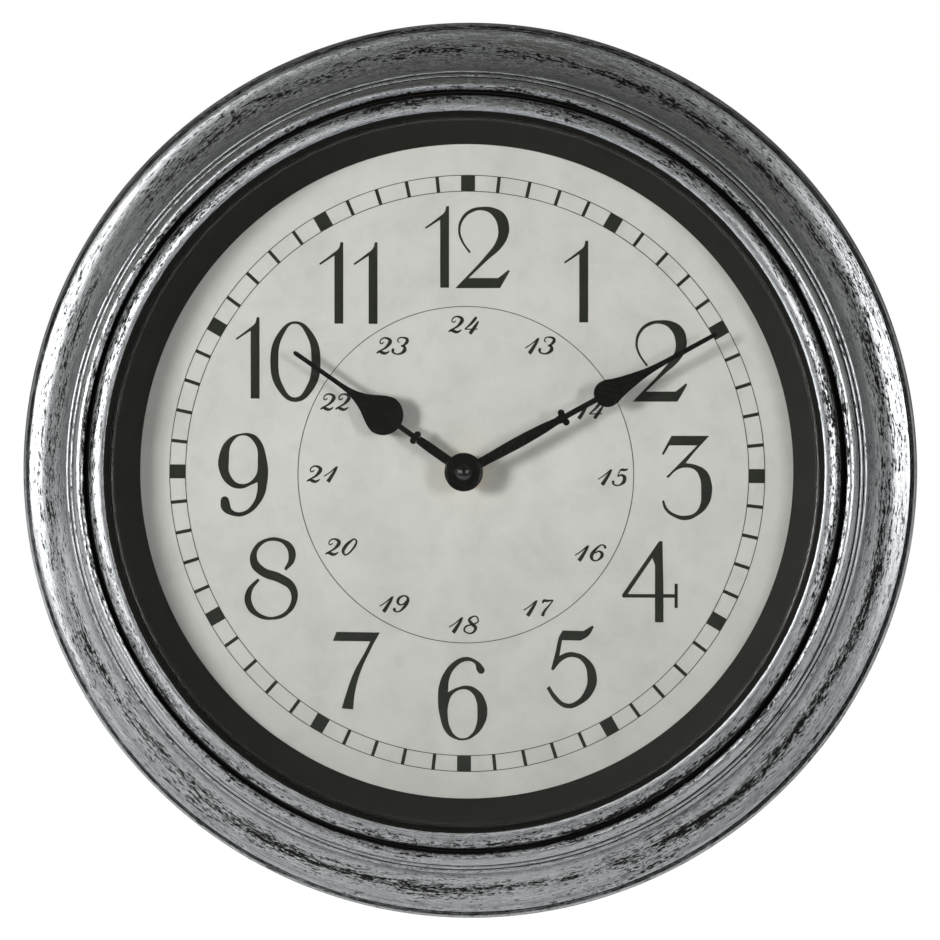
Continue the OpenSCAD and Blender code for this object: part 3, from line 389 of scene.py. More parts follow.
# A profile is a closed list of (radius, height above the wall[, cover]), laid flat for the sweep. Cover is
# the silver on the frame and the polish on the bezel
def profileMesh(name, points, turningRadius):
    mesh = bpy.data.meshes.new(name)
    count = len(points)
    verts = [((p[0] - turningRadius) * mm, (clockDepth / 2 - p[1]) * mm, 0) for p in points]
    mesh.from_pydata(verts, [(i, (i + 1) % count) for i in range(count)], [])
    across = mesh.attributes.new("across", "FLOAT", "POINT")
    cover = mesh.attributes.new("cover", "FLOAT", "POINT")
    run = 0.0
    for i, p in enumerate(points):
        if i:
            run += math.dist(p[:2], points[i - 1][:2])
        across.data[i].value = run
        cover.data[i].value = p[2] if len(p) > 2 else 0.0
    return mesh


def turned(name, points, finish, segments, turningRadius=10.0, sharpAngle=0.6):
    return outward(runTree(name, profileMesh(name + "Profile", points, turningRadius), turnedProfile,
                           {"Turning Radius": turningRadius * mm, "Segments": segments,
                            "Sharp Angle": sharpAngle, "Finish": finish}))


def repeated(name, mesh, count, firstAngle, finish):
    return runTree(name, mesh, repeatedRound, {"Count": count, "First Angle": firstAngle, "Finish": finish})


# Frame moulding, from the rim over the front and back behind it. Turns are (start, stop, steps) in degrees,
# and from the ridges to lipEdge places are shares of mouldWidth and mouldRise
frameSizes = {
    "radius": 152.5, "opening": 119.2, "beadRadius": 1.9, "beadHeight": 8.5, "beadTurn": (-60, 62, 20),
    "rimInset": 3.0, "grooveFloor": 9.5, "groove": [(1.0, 0.3), (0.6, 0.05), (0.4, 0), (0, 0.3), (0, 2.5)],
    "coveAxis": 150.0, "coveTop": 25.0, "coveWidth": 14.5, "coveRise": 12.7, "coveAngles": range(4, 91, 2),
    "mouldWidth": 16.3, "mouldRise": 11.6, "ridgeRadius": 0.049,
    "ridges": [((0.957, 0.017), (-15, 160, 8)), ((0.859, 0.138), (-25, 130, 8))],
    "smallBead": (0.65, 0.483), "smallBeadRadius": 0.16, "smallBeadTurn": (-20, 136, 18),
    "step": [(0.531, 0.543), (0.518, 0.509), (0.494, 0.509), (0.4785, 0.552), (0.46, 0.66),
             (0.4386, 0.793), (0.414, 0.888), (0.391, 0.93)],
    "bandCentre": 0.2025, "bandRadius": 0.423, "bandTurn": (67, 113, 20),
    "lipEdge": [(0.015, 0.935), (0, 0.9)], "lip": 3.4, "seat": 121.0, "seatOuter": 123.2, "plateHeight": 17.4,
    "roof": [(0, 0.52), (0.165, 0.31), (0.55, 0.26), (0.667, 0)], "wall": 2.4,
    "backAngles": range(75, 11, -7), "segments": 360}
# Silver cover along the same path: 1 is full, below 0 the black stays bare
frameCover = {
    "rim": 0.1, "bead": 0.92, "groove": [0.95, 0.8, 0.35, 0.3, 0.9],
    "cove": 0.84, "coveLoss": 0.24, "coveLossAt": 32, "coveLossWidth": 10, "ridge": 0.9, "valley": -0.5,
    "smallBead": [0.9] * 13 + [0.72] * 4 + [0.2] * 2, "step": [-0.3] * 5 + [0.62] * 3,
    "band": 0.62, "bandGain": 0.035, "bandLoss": 0.15, "bandLossAt": 9, "bandLossWidth": 2,
    "paintEnd": 15, "endCover": 0.8, "endLoss": 0.9, "bare": -0.6}


def covePoint(s, wall, angle):
    t = math.radians(angle)
    return (s["coveAxis"] - (s["coveWidth"] + wall) * math.sin(t),
            s["coveTop"] - (s["coveRise"] + wall) * math.cos(t))


def dip(i, centre, width):
    return math.exp(-((i - centre) / width) ** 2)


def frameProfile(s, c):
    def mould(u, v):
        return s["opening"] + u * s["mouldWidth"], s["coveTop"] + v * s["mouldRise"]

    def roof(u, v):
        return (s["seatOuter"] + u * (s["coveAxis"] - s["coveWidth"] - s["seatOuter"]),
                s["coveTop"] + v * s["mouldRise"])

    def coated(points, cover):
        covers = cover if isinstance(cover, list) else [cover] * len(points)
        return [(*point, value) for point, value in zip(points, covers)]

    path = [(s["radius"] - s["rimInset"], 0.0, c["rim"])]
    bead = arc(s["radius"] - s["beadRadius"], s["beadHeight"], s["beadRadius"], *s["beadTurn"])
    groove = [(s["coveAxis"] + out, s["grooveFloor"] + up) for out, up in s["groove"]]
    path += coated(bead, c["bead"]) + coated(groove, c["groove"])
    for angle in s["coveAngles"]:    # flecks of black gather in the middle of the cove
        loss = c["coveLoss"] * dip(angle, c["coveLossAt"], c["coveLossWidth"])
        path.append((*covePoint(s, 0, angle), c["cove"] - loss))
    for centre, turn in s["ridges"]:
        ridge = arc(*mould(*centre), s["ridgeRadius"] * s["mouldWidth"], *turn)
        path += coated(ridge, [c["valley"]] + [c["ridge"]] * (len(ridge) - 2) + [c["valley"]])
    smallBead = arc(*mould(*s["smallBead"]), s["smallBeadRadius"] * s["mouldWidth"], *s["smallBeadTurn"])
    path += coated(smallBead, c["smallBead"]) + coated([mould(u, v) for u, v in s["step"]], c["step"])
    crown, swell = s["coveTop"] + s["mouldRise"], s["bandRadius"] * s["mouldWidth"]
    band = arc(s["opening"] + s["bandCentre"] * s["mouldWidth"], crown - swell, swell, *s["bandTurn"])
    for i, spot in enumerate(band):
        cover = c["band"] + c["bandGain"] * i - c["bandLoss"] * dip(i, c["bandLossAt"], c["bandLossWidth"])
        past = i - c["paintEnd"]
        path.append((*spot, cover if past <= 0 else c["endCover"] - c["endLoss"] * past))
    path += coated([mould(u, v) for u, v in s["lipEdge"]], c["bare"])
    back = [(s["opening"], crown - s["lip"]), (s["seat"], crown - s["lip"]), (s["seat"], s["plateHeight"]),
            (s["seatOuter"], s["plateHeight"])] + [roof(u, v) for u, v in s["roof"]]
    back += [covePoint(s, s["wall"], angle) for angle in s["backAngles"]]
    inner = s["radius"] - s["rimInset"] - s["wall"]
    back += [(inner, s["coveTop"] - s["coveRise"] - s["wall"]), (inner, 0.0)]
    return path + coated(back, c["bare"])


frameMesh = turned("frameMoulding", frameProfile(frameSizes, frameCover), silverPaint, frameSizes["segments"],
                   turningRadius=frameSizes["opening"])
addPiece("frameMoulding", frameMesh, "case", ["frame_ring"])
print("frame moulding:", len(frameMesh.polygons), "faces")

# Bosses for the plate screws and ribs, behind the moulding
bossSizes = {"ring": 126.2, "radius": 3.4, "bore": 1.45, "low": 17.4, "high": 29.7, "segments": 36,
             "count": 8}
ribSizes = {"thick": 1.6, "rear": 4.75, "inner": 130.25, "outer": 148.3, "seat": 122.1, "plate": 17.45,
            "head": 31.9, "crest": [(124.1, 31.9), (125.2, 29.5), (130.0, 29.0), (132.2, 26.0)], "toe": 9.9,
            "count": 16}


def bossMesh(s):
    tube = [(s["bore"], s["low"]), (s["radius"], s["low"]), (s["radius"], s["high"]), (s["bore"], s["high"])]
    mesh = turned("boss", tube, frameBlack, s["segments"], turningRadius=(s["bore"] + s["radius"]) / 2)
    mesh.transform(Matrix.Translation((s["ring"] * mm, 0, 0)))
    return mesh


def ribMesh(s, f):
    outline = [(s["seat"], s["plate"]), (s["seat"], s["head"])] + s["crest"]
    outline += [covePoint(f, f["wall"] / 2, angle) for angle in f["backAngles"]]
    outline += [(s["outer"], s["toe"]), (s["outer"], s["rear"]), (s["inner"], s["rear"]),
                (s["inner"], s["plate"])]
    count = len(outline)
    verts = [place(r, side * s["thick"] / 2, z) for side in (1, -1) for r, z in outline]
    faces = [tuple(range(count)), tuple(range(2 * count - 1, count - 1, -1))]
    faces += [(i, i + count, (i + 1) % count + count, (i + 1) % count) for i in range(count)]
    mesh = bpy.data.meshes.new("rib")
    mesh.from_pydata(verts, [], faces)
    return outward(mesh)


for name, mesh, count in (("frameBosses", bossMesh(bossSizes), bossSizes["count"]),
                          ("frameRibs", ribMesh(ribSizes, frameSizes), ribSizes["count"])):
    addPiece(name, repeated(name, mesh, count, math.pi / count, frameBlack), "case")
print("bosses and ribs set")

# Inner bezel: a rounded shoulder catches the light, a funnel leads down to the dial
bezelSizes = {"outside": [(120.55, 20.0), (120.55, 31.2, 1.0)], "shoulder": (119.3, 29.7, 1.5, 90, 140, 10),
              "funnel": [(117.9, 30.4), (111.2, 20.7), (110.75, 20.45), (110.6, 20.3), (110.6, 20.0)],
              "underside": [(112.1, 20.0), (112.1, 20.7), (118.5, 28.2), (119.05, 28.2), (119.05, 20.0)],
              "polish": 1.0, "turningRadius": 110.0, "segments": 360}


def bezelProfile(s):
    shoulder = [(r, z, s["polish"]) for r, z in arc(*s["shoulder"])]
    return s["outside"] + shoulder + s["funnel"] + s["underside"]


addPiece("innerBezel", turned("innerBezel", bezelProfile(bezelSizes), bezelBlack, bezelSizes["segments"],
         turningRadius=bezelSizes["turningRadius"]), "case", ["inner_bezel"])

# Hub of the minute hand and its cap nut. The dish is in shares of the hub's radius and rise
hubSizes = {"radius": 6.5, "base": 28.0, "rise": 1.2, "bore": 1.72, "segments": 128,
            "dish": [(1, 0), (1, 0.5), (0.985, 0.6), (0.965, 0.655), (0.945, 0.68), (0.925, 0.675),
                     (0.905, 0.65), (0.88, 0.61), (0.85, 0.6), (0.7, 0.63), (0.45, 0.66), (0.41, 0.68),
                     (0.41, 1)],
            "capRadius": 2.7, "capBase": 29.2, "capWall": 0.42, "capCurve": 4.4, "capSteps": 14,
            "capRecess": 0.1, "capSegments": 96}


def hubProfile(s):
    return ([(s["radius"] * u, s["base"] + s["rise"] * v) for u, v in s["dish"]]
            + [(s["bore"], s["base"] + s["rise"]), (s["bore"], s["base"])])


def capProfile(s):
    low = math.degrees(math.acos(s["capRadius"] / s["capCurve"]))
    centre = s["capBase"] + s["capWall"] - s["capCurve"] * math.sin(math.radians(low))
    dome = arc(0, centre, s["capCurve"], low, 90, s["capSteps"])
    floor = s["capBase"] + s["capRecess"]
    return ([(s["bore"], s["capBase"]), (s["capRadius"], s["capBase"])] + dome
            + [(0, floor), (s["bore"], floor)])


addPiece("minuteHub", turned("minuteHub", hubProfile(hubSizes), hubBlack, hubSizes["segments"]),
         "minute_hand", ["minute_collet"])
addPiece("capNut", turned("capNut", capProfile(hubSizes), capBlack, hubSizes["capSegments"]),
         "minute_hand", ["cap_nut"])
print("bezel, hub and cap nut turned")

# Hands: half widths at distances from the hand axis, a crossbar with two lobes, a round spade and a thin tip
handSizes = {"thick": 0.45, "edge": 0.06, "edgeSteps": 2, "lobe": 1.12, "lobeTurn": (215, -35, 12),
             "spadeSteps": 16, "discSteps": 48}
hourHandSizes = {"height": 25.2, "angle": 305.03, "disc": 5.4, "bore": 2.62, "barAt": 20.15, "barHalf": 2.35,
                 "spadeAt": 33.5, "spadeRadius": 6.8, "neck": 0.86,
                 "arm": [(9.4, 1.57), (14.0, 1.58), (17.5, 1.45), (19.3, 1.2)],
                 "blade": [(34.7, 6.5), (36.4, 5.8), (38.1, 4.8), (40.3, 3.45), (42.6, 2.34), (45.4, 1.43),
                           (48.2, 0.92), (51.7, 0.74), (60.0, 0.72), (69.6, 0.7), (70.4, 0.4)]}
minuteHandSizes = {"height": 27.55, "angle": 61.3, "disc": 5.85, "bore": 1.72, "barAt": 38.3, "barHalf": 2.9,
                   "spadeAt": 55.0, "spadeRadius": 4.5, "neck": 0.9,
                   "arm": [(9.7, 1.6), (15.5, 1.82), (20.3, 1.91), (25.1, 1.84), (30.9, 1.6), (35.3, 1.2)],
                   "blade": [(56.8, 4.3), (58.4, 3.67), (61.8, 2.75), (65.7, 1.98), (69.6, 1.3), (73.4, 0.95),
                             (77.3, 0.8), (87.0, 0.76), (96.2, 0.68), (96.8, 0.4)]}


def handLoops(h, s):
    lobe, steps = s["lobe"], s["discSteps"]
    start = (math.sqrt(h["disc"] ** 2 - h["arm"][0][1] ** 2), h["arm"][0][1])
    bar = [(h["barAt"] + x, h["barHalf"] - lobe + y) for x, y in arc(0, 0, lobe, *s["lobeTurn"])]
    low = math.degrees(math.acos(h["neck"] / h["spadeRadius"])) + 90
    spade = arc(h["spadeAt"], 0, h["spadeRadius"], low, 90, s["spadeSteps"])
    side = [start] + h["arm"] + [(bar[0][0], h["arm"][-1][1])] + bar + [(bar[-1][0], h["neck"])]
    side += spade + h["blade"]
    root = math.degrees(math.atan2(start[1], start[0]))
    back = arc(0, 0, h["disc"], 360 - root, root, steps)[1:-1]
    outline = side + [(x, -y) for x, y in reversed(side)] + back
    return [[(y, x) for x, y in outline], arc(0, 0, h["bore"], 0, 360 - 360 / steps, steps - 1)]


def handMesh(name, loops, height, s):
    curve = bpy.data.curves.new(name, "CURVE")
    curve.dimensions, curve.fill_mode = "2D", "BOTH"
    curve.extrude, curve.bevel_depth = (s["thick"] / 2 - s["edge"]) * mm, s["edge"] * mm
    curve.bevel_resolution = s["edgeSteps"]
    for loop in loops:
        spline = curve.splines.new("POLY")
        spline.points.add(len(loop) - 1)
        spline.use_cyclic_u = True
        for point, (x, up) in zip(spline.points, loop):
            point.co = (x * mm, up * mm, 0, 1)
    return curveMesh(name, curve, height + s["thick"] / 2, handBlack)


def curveMesh(name, curve, height, finish):
    source = bpy.data.objects.new(name + "Source", curve)
    bpy.context.collection.objects.link(source)
    bpy.context.view_layer.update()
    evaluated = source.evaluated_get(bpy.context.evaluated_depsgraph_get())
    mesh = bpy.data.meshes.new_from_object(evaluated)
    bpy.data.objects.remove(source)
    mesh.transform(Matrix.Translation(place(0, 0, height)) @ Matrix.Rotation(math.pi / 2, 4, "X"))
    mesh.materials.clear()
    mesh.materials.append(finish)
    return outward(mesh)


for name, body, sizes in (("hourHand", "hour_hand", hourHandSizes),
                          ("minuteHand", "minute_hand", minuteHandSizes)):
    mesh = handMesh(name, handLoops(sizes, handSizes), sizes["height"], handSizes)
    mesh.transform(Matrix.Rotation(math.radians(sizes["angle"]), 4, "Y"))
    addPiece(name, mesh, body, [body])       # the stamped hand's node has the name of its body
print("hands cut")

# Print on the dial: rings, minute marks and hour blocks. Mark and block angles are those of one hour
printSizes = {"height": 20.02, "thick": 0.03, "outerRing": 100.8, "innerRing": 95.4, "ringLine": 0.25,
              "thinRing": 56.88, "thinLine": 0.24, "ringSegments": 360, "hours": 12,
              "markWidth": 1.16, "markAngles": (6, 12, 18, 24), "blockWidth": 4.75, "blockAngles": (0,),
              "trackCentre": (0.24, -0.69), "thinCentre": (0.03, -1.05), "figureCentre": (0.40, -0.64),
              "slantCentre": (0.34, -0.46), "turn": 0.4, "curveSteps": 8}
inkLow, inkHigh = printSizes["height"], printSizes["height"] + printSizes["thick"]


# The print sits a little low and right in the frame, its marks a little turned
def printPlaced(mesh, centre, turn=0.0):
    shift = Matrix.Translation((centre[0] * mm, 0, centre[1] * mm))
    mesh.transform(shift @ Matrix.Rotation(math.radians(turn), 4, "Y"))
    return mesh


for name, *keys in (("chapterRingOuter", "outerRing", "ringLine", "trackCentre"),
                    ("chapterRingInner", "innerRing", "ringLine", "trackCentre"),
                    ("innerCircle", "thinRing", "thinLine", "thinCentre")):
    radius, line, centre = [printSizes[key] for key in keys]
    inner, outer = radius - line / 2, radius + line / 2
    points = [(inner, inkLow), (outer, inkLow), (outer, inkHigh), (inner, inkHigh)]
    ring = turned(name, points, ink, printSizes["ringSegments"], turningRadius=radius)
    addPiece(name, printPlaced(ring, centre), "case")


def inkBars(width, low, high, angles):   # marks clockwise from 12
    verts, faces = [], []
    for angle in angles:
        c, t, n = math.cos(math.radians(angle)), math.sin(math.radians(angle)), len(verts)
        corners = [(x * c + up * t, up * c - x * t) for x, up in
                   ((-width / 2, low), (width / 2, low), (width / 2, high), (-width / 2, high))]
        verts += [place(x, up, height) for height in (inkHigh, inkLow) for x, up in corners]
        faces += [(n, n + 1, n + 2, n + 3), (n + 7, n + 6, n + 5, n + 4)]
        faces += [(n + i, n + i + 4, n + (i + 1) % 4 + 4, n + (i + 1) % 4) for i in range(4)]
    mesh = bpy.data.meshes.new("inkBars")
    mesh.from_pydata(verts, [], faces)
    return outward(mesh)


half = printSizes["ringLine"] / 2
for name, kind in (("minuteMarks", "mark"), ("hourBlocks", "block")):
    bars = inkBars(printSizes[kind + "Width"], printSizes["innerRing"] + half, printSizes["outerRing"] - half,
                   printSizes[kind + "Angles"])
    marks = repeated(name, bars, printSizes["hours"], 0.0, ink)
    addPiece(name, printPlaced(marks, printSizes["trackCentre"], printSizes["turn"]), "case")
print("minute track printed")

# Large numerals: outlines on a grid of numeralGrid mm, x to the right and y up from each figure's lower left
# corner. A point is rounded unless it is marked "c" for a corner
numeralGrid = 0.3385
figureOutlines = {
    "1": [[(15.2, 0, "c"), (24.1, 0, "c"), (24.1, 81.4, "c"), (21.3, 81.4, "c"), (19.8, 75.8), (13.5, 70.2),
           (0, 60.2, "c"), (0.9, 58.6, "c"), (9.0, 63.9), (15.2, 67.9, "c")]],
    "2": [[(0.4, 0, "c"), (45.2, 0, "c"), (54.9, 16.8, "c"), (53.6, 18.3, "c"), (43.3, 10.1, "c"),
           (13.9, 10.1, "c"), (33.3, 28.5), (46.6, 40.4), (53.3, 52.3), (54.2, 62.0), (49.8, 73.6),
           (40.5, 79.6), (27.6, 81.1), (15.0, 78.3), (6.4, 70.1), (3.2, 58.2), (5.2, 49.0), (14.3, 34.7, "c"),
           (15.9, 36.2, "c"), (8.2, 47.6), (5.6, 58.2), (9.6, 69.4), (18.0, 75.9), (27.6, 77.5), (37.6, 72.4),
           (43.3, 58.0), (41.0, 46.3), (32.5, 34.4)]],
    "3": [[(0.1, 65.4, "c"), (9.9, 83.7, "c"), (47.5, 83.7, "c"), (31.4, 65.9), (24.1, 56.6, "c"),
           (34.0, 54.8), (45.2, 48.1), (49.5, 38.0), (50.1, 26.0), (46.0, 13.9), (36.8, 4.8), (24.1, -0.3),
           (12.0, 3.0), (2.9, 10.7), (0.5, 19.0, "c"), (2.5, 19.5, "c"), (6.0, 11.4), (15.1, 5.4),
           (24.0, 4.2), (33.0, 7.0), (38.3, 14.8), (39.4, 28.0), (37.9, 42.4), (33.0, 49.7), (24.5, 52.1),
           (16.0, 50.0), (6.6, 41.6, "c"), (4.7, 42.8, "c"), (35.4, 74.1, "c"), (7.8, 74.1, "c"),
           (2.1, 64.7, "c")]],
    "4": [[(32.9, 0, "c"), (41.4, 0, "c"), (41.4, 24.6, "c"), (52.4, 24.6, "c"), (52.4, 14.4, "c"),
           (55.6, 14.4, "c"), (55.6, 38.6, "c"), (52.4, 38.6, "c"), (52.4, 28.2, "c"), (41.4, 28.2, "c"),
           (40.4, 81.0, "c"), (37.0, 81.0, "c"), (0, 27.4, "c"), (0.6, 24.6, "c"), (32.9, 24.6, "c")],
          [(5.8, 28.2, "c"), (30.2, 64.1, "c"), (32.9, 57.0, "c"), (32.9, 28.2, "c")]],
    "5": [[(15.8, 77.9, "c"), (36.5, 77.4, "c"), (45.6, 83.0, "c"), (46.9, 81.1, "c"), (41.5, 72.5),
           (34.0, 67.8, "c"), (15.2, 68.0, "c"), (12.6, 52.6, "c"), (19.2, 55.6), (26.2, 56.2), (40.8, 49.8),
           (49.6, 34.0), (46.6, 16.7), (32.5, 3.3), (20.4, 0.1), (8.9, 6.5), (-0.3, 19.9, "c"),
           (2.6, 22.6, "c"), (8.3, 14.1), (19.2, 5.2), (28.7, 7.1), (38.5, 19.5), (40.4, 32.0), (36.0, 46.0),
           (27.0, 51.2), (16.6, 48.6), (6.4, 37.7, "c"), (4.2, 39.0, "c"), (8.9, 57.5), (12.2, 71.5)]],
    "6": [[(47.0, 70.0), (45.2, 75.1), (38.0, 81.5), (28.1, 84.4), (17.0, 80.2), (7.0, 69.4), (1.6, 56.5),
           (0.3, 42.6), (2.0, 26.0), (8.6, 8.4), (18.0, 2.0), (27.0, 1.0), (37.9, 6.0), (47.0, 17.5),
           (49.9, 29.5), (47.3, 42.0), (41.0, 51.0), (29.8, 55.7), (19.0, 53.5), (10.4, 49.0, "c"),
           (12.0, 63.0), (19.2, 75.0), (30.0, 80.2), (37.3, 77.4), (39.2, 71.0), (43.0, 67.5)],
          [(26.0, 52.0), (15.5, 47.2), (10.9, 37.0), (10.1, 26.3), (13.0, 12.5), (19.0, 4.8), (25.5, 2.9),
           (33.5, 6.8), (38.7, 16.6), (39.8, 28.0), (38.5, 41.0), (34.0, 48.8)]],
    "7": [[(3.6, 78.2, "c"), (47.2, 77.6, "c"), (36.6, 57.8), (27.1, 36.2), (22.0, 16.0), (20.4, 0.4, "c"),
           (8.9, 1.4, "c"), (12.4, 13.2), (20.7, 36.8), (32.8, 59.1), (37.6, 68.7, "c"), (0, 69.0, "c")]],
    "8": [[(41.8, 48.8, "c"), (50.7, 59.3), (49.5, 73.0), (38.0, 80.9), (21.4, 81.0), (9.0, 71.5),
           (6.1, 55.5), (16.3, 44.0), (35.4, 36.4), (45.6, 28.7), (45.6, 14.7), (34.2, 4.2), (19.5, 4.2),
           (8.7, 14.0), (7.7, 28.1), (15.7, 39.6, "c"), (13.1, 41.1, "c"), (1.6, 28.1), (1.6, 13.4),
           (13.1, 2.2), (28.4, -0.3), (43.1, 4.5), (53.3, 20.4), (50.7, 35.1), (36.7, 45.9), (18.9, 52.9),
           (12.5, 62.5), (16.9, 74.0), (29.1, 78.8), (40.5, 74.0), (44.4, 61.2), (39.9, 50.8, "c")]],
    "9": [[(25.1, 83.5), (9.8, 77.5), (0.8, 60.9), (1.1, 45.6), (10.4, 31.5), (22.5, 27.9), (34.0, 32.1),
           (39.3, 34.5, "c"), (39.4, 27.7), (34.6, 13.1), (22.5, 4.4), (13.6, 7.3), (11.2, 14.5), (9.2, 19.2),
           (4.2, 19.5), (2.2, 13.0), (4.0, 6.5), (14.2, 0.9), (26.3, 1.0), (42.9, 15.0), (49.3, 34.1),
           (48.3, 59.6), (41.0, 78.1), (34.6, 82.6)],
          [(25.1, 81.3), (14.2, 74.3), (10.7, 56.4), (12.3, 41.1), (22.5, 32.8), (35.9, 38.6), (39.7, 55.8),
           (36.5, 73.6)]],
    "0": [[(25.2, 80.8), (8.0, 69.0), (0, 40.4), (8.0, 11.5), (25.2, 0), (42.5, 11.5), (50.5, 40.4),
           (42.5, 69.0)],
          [(24.7, 78.2), (13.0, 66.5), (8.1, 41.0), (13.0, 16.0), (24.7, 4.6), (36.5, 16.0), (41.3, 41.0),
           (36.5, 66.5)]]}
# Each figure with the lower left corner of its outline, in mm from the middle of the dial
hourFigures = [("1", 32.95, 51.04), ("2", 55.95, 24.32), ("3", 65.88, -15.52), ("4", 52.56, -50.13),
               ("5", 27.2, -79.31), ("6", -9.8, -90.59), ("7", -45.4, -80.13), ("8", -75.49, -49.56),
               ("9", -84.37, -14.66), ("1", -78.45, 25.34), ("0", -66.62, 24.19), ("1", -49.95, 50.71),
               ("1", -38.33, 50.62), ("1", -14.08, 62.8), ("2", -3.95, 62.64)]


def inkOutline(name, figures, grid):
    curve = bpy.data.curves.new(name, "CURVE")
    curve.dimensions, curve.fill_mode = "2D", "BOTH"
    curve.extrude = printSizes["thick"] / 2 * mm
    curve.resolution_u = printSizes["curveSteps"]
    for figure, left, low in figures:
        for outline in figureOutlines[figure]:
            spline = curve.splines.new("BEZIER")
            spline.bezier_points.add(len(outline) - 1)
            spline.use_cyclic_u = True
            for point, spot in zip(spline.bezier_points, outline):
                point.co = ((left + spot[0] * grid) * mm, (low + spot[1] * grid) * mm, 0)
                kind = "VECTOR" if len(spot) > 2 else "AUTO"
                point.handle_left_type = point.handle_right_type = kind
    return curveMesh(name, curve, printSizes["height"] + printSizes["thick"] / 2, ink)


addPiece("hourNumerals", printPlaced(inkOutline("hourNumerals", hourFigures, numeralGrid),
         printSizes["figureCentre"]), "case")
print("large numerals printed")

# Small slanting numerals: pen strokes of (x, y, pressure) on the same grid
slantSizes = {"steps": 5, "line": 0.22, "swell": 1.12}
slantStrokes = {
    "0": [[(12.2, 16.6, 0.5), (5.6, 11.2, 1.2), (1.4, 4.6, 1.3), (3.4, 0.4, 0.6), (8.0, 2.8, 0.6),
           (13.4, 9.6, 0.8), (14.8, 14.4, 0.6), (12.2, 16.6, 0.5)]],
    "1": [[(11.7, 15.7, 0.35), (9.8, 12.2, 0.9), (6.8, 7.4, 1.3), (3.6, 2.4, 1.5), (2.0, 0.2, 1.6)],
          [(-1.9, 5.8, 0.35), (4.0, 9.6, 0.35), (10.8, 15.2, 0.5)]],
    "2": [[(7.6, 11.6, 0.35), (5.0, 10.2, 0.35), (3.6, 11.6, 0.35), (5.0, 14.6, 0.4), (8.8, 16.0, 0.6),
           (13.2, 14.2, 1.2), (13.4, 11.0, 1.5), (9.0, 6.0, 0.8), (2.4, 2.4, 0.4), (0.2, 0.6, 0.35)],
          [(0.2, 0.6, 0.4), (2.8, 2.2, 0.8), (5.8, 1.2, 1.3), (8.8, 0.4, 1.0), (12.0, 1.8, 0.5),
           (13.0, 3.0, 0.3)]],
    "3": [[(8.0, 11.6, 0.3), (6.2, 13.2, 0.35), (7.6, 15.9, 0.4), (11.2, 16.6, 0.5), (15.4, 15.3, 1.0),
           (15.6, 12.2, 1.3), (12.4, 9.0, 0.7), (9.6, 8.2, 0.4)],
          [(9.6, 8.2, 0.4), (13.0, 7.2, 1.0), (13.2, 3.8, 1.5), (9.8, 0.8, 0.9), (5.8, 0.0, 0.5),
           (2.0, 1.4, 0.7), (1.4, 4.0, 1.1), (2.6, 5.2, 0.8)]],
    "4": [[(12.9, 17.2, 0.8), (10.5, 14.2, 1.2), (7.0, 10.2, 0.9), (1.2, 5.2, 0.35)],
          [(14.8, 13.0, 0.5), (11.8, 8.4, 1.2), (8.0, 3.0, 1.4), (6.2, 0.4, 1.3)],
          [(1.0, 5.0, 0.35), (13.8, 5.2, 0.3)]],
    "5": [[(8.0, 15.2, 0.5), (10.5, 15.9, 1.0), (13.5, 15.7, 0.9), (16.0, 16.8, 0.3)],
          [(7.9, 15.2, 0.35), (5.8, 9.0, 0.3)],
          [(5.8, 9.0, 0.35), (9.5, 10.6, 0.7), (12.6, 8.4, 1.4), (11.8, 3.8, 1.4), (8.0, 0.7, 0.6),
           (3.6, 0.4, 0.5), (1.2, 2.4, 0.8), (1.6, 5.0, 1.0)]],
    "6": [[(14.2, 12.5, 1.1), (15.0, 14.4, 0.8), (11.5, 16.0, 0.4), (6.6, 12.8, 0.9), (2.2, 7.4, 1.4),
           (1.2, 3.4, 1.3), (3.6, 0.3, 0.6), (7.6, 0.8, 0.5), (11.4, 4.2, 1.2), (11.6, 7.6, 1.2),
           (8.6, 9.6, 0.6), (4.6, 7.6, 0.4)]],
    "7": [[(1.8, 13.4, 0.6), (3.2, 16.0, 1.0), (7.0, 15.8, 0.9), (12.4, 16.6, 0.3)],
          [(12.4, 16.4, 0.35), (7.8, 10.6, 0.6), (3.6, 5.4, 1.0), (1.6, 0.6, 1.4)]],
    "8": [[(15.0, 13.2, 0.5), (13.6, 16.6, 0.45), (10.0, 17.2, 0.5), (5.8, 14.0, 1.0), (8.2, 10.0, 1.3),
           (12.2, 6.0, 1.3), (10.0, 1.4, 0.8), (5.6, 0.2, 0.5), (0.9, 2.8, 0.6), (2.6, 7.2, 0.6),
           (9.2, 9.2, 0.4), (14.0, 11.2, 0.5), (15.0, 13.2, 0.5)]],
    "9": [[(14.6, 12.0, 0.5), (11.0, 8.2, 0.5), (7.0, 7.4, 0.6), (5.0, 10.4, 1.1), (7.0, 14.4, 0.9),
           (11.8, 16.4, 0.5), (15.0, 14.4, 0.9), (15.0, 10.6, 1.3), (12.0, 5.6, 1.2), (7.6, 1.2, 0.6),
           (3.4, 0.4, 0.5), (1.6, 2.6, 1.2), (3.0, 3.6, 0.7)]]}
